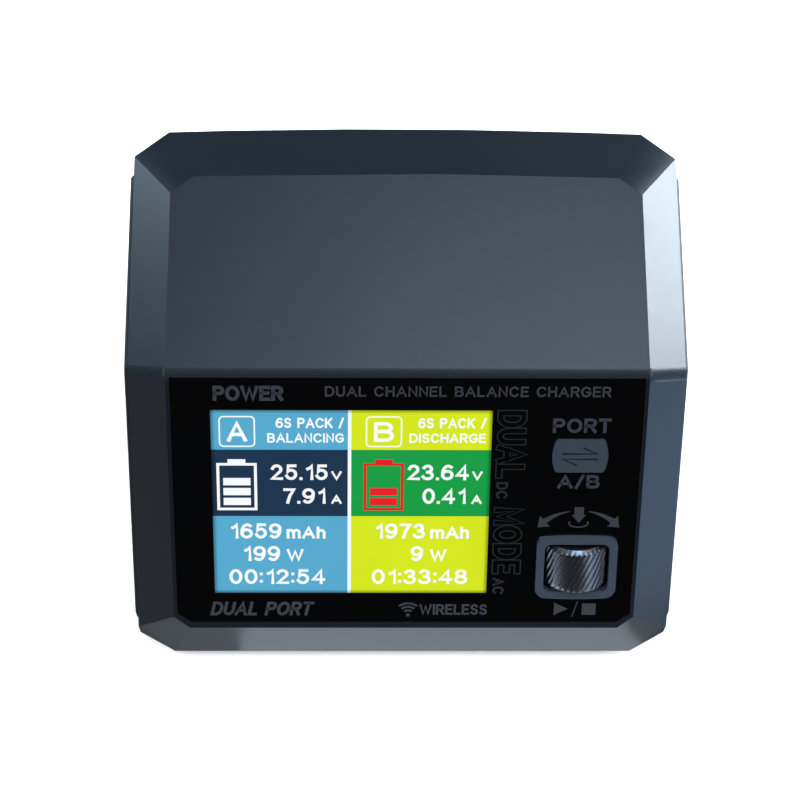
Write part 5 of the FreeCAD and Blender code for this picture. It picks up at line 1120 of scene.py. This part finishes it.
marks = bmesh.new()
for sign in (-1, 1):
    half_arrow(marks, sign)
place(marks, "button_arrows", ARROW_DARK, "button_slate", "channel_button", turn=PANEL)

# %% [markdown]
# ## Knurled wheel
# The wheel is metal with slanting ridges that give a thumb grip. A ring of points, two of every four pushed out,
# is a toothed section. Extruded along the axle in short steps, each turned a little, the teeth become a helix.
# The rims are drawn in to a smooth chamfer, a sunk hub and the axle's bore.

# %% Knurled wheel
WHEEL_RADIUS, WHEEL_HALF = 7.5, 5.9
RIDGES, RIDGE_DEEP, RIDGE_POINTS = 34, 0.42, 4
TWIST = math.radians(38)
LAYERS = 14
RIM_HIGH, HUB_HIGH = 0.9, 0.5           # how far the smooth rim and its hub reach beyond the ridges
HUB_RADIUS, BORE_RADIUS = 3.0, 1.15
RIM_STEPS = ((WHEEL_RADIUS - 0.5, 0.25), (WHEEL_RADIUS - 1.25, RIM_HIGH), (HUB_RADIUS, RIM_HIGH),
             (HUB_RADIUS, HUB_HIGH), (BORE_RADIUS, HUB_HIGH))   # radius, and height beyond the ridges


def points_of(grown):
    return [part for part in grown if isinstance(part, bmesh.types.BMVert)]


def edges_of(grown):
    return [part for part in grown if isinstance(part, bmesh.types.BMEdge)]


def build_knurled_wheel():
    """The wheel about the Z axis in millimetres, with a bore through it."""
    shape = bmesh.new()
    foot = WHEEL_RADIUS - RIDGE_DEEP
    bmesh.ops.create_circle(shape, cap_ends=False, segments=RIDGES * RIDGE_POINTS, radius=foot)
    shape.verts.ensure_lookup_table()
    for index, vert in enumerate(shape.verts):
        if index % RIDGE_POINTS in (0, 1):
            vert.co *= WHEEL_RADIUS / foot
    first = ring = list(shape.edges)
    knurl_half = WHEEL_HALF - RIM_HIGH
    bmesh.ops.translate(shape, verts=shape.verts, vec=(0, 0, -knurl_half))
    for _ in range(LAYERS):
        grown = bmesh.ops.extrude_edge_only(shape, edges=ring)["geom"]
        raised = points_of(grown)
        bmesh.ops.translate(shape, verts=raised, vec=(0, 0, 2 * knurl_half / LAYERS))
        bmesh.ops.rotate(shape, verts=raised, cent=(0, 0, 0), matrix=Matrix.Rotation(TWIST / LAYERS, 3, "Z"))
        ring = edges_of(grown)
    bores = []
    for loop, sign in ((first, -1), (ring, 1)):
        for radius, height in RIM_STEPS:
            grown = bmesh.ops.extrude_edge_only(shape, edges=loop)["geom"]
            for vert in points_of(grown):
                flat = Vector((vert.co.x, vert.co.y, 0)).normalized() * radius
                vert.co = Vector((flat.x, flat.y, sign * (knurl_half + height)))
            loop = edges_of(grown)
        bores += loop
    bmesh.ops.bridge_loops(shape, edges=bores)
    bmesh.ops.remove_doubles(shape, verts=shape.verts, dist=1e-4)
    bmesh.ops.recalc_face_normals(shape, faces=shape.faces)
    return shape


WHEEL_PLACE = (PANEL @ Matrix.Translation((WHEEL_X, WHEEL_V, WHEEL_N))
               @ Matrix.Rotation(-math.pi / 2, 4, "X"))
wheel = place(build_knurled_wheel(), "knurled_wheel", WHEEL_METAL, "wheel_metal", "wheel", turn=WHEEL_PLACE,
              smooth_below=28)
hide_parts("thumbwheel")
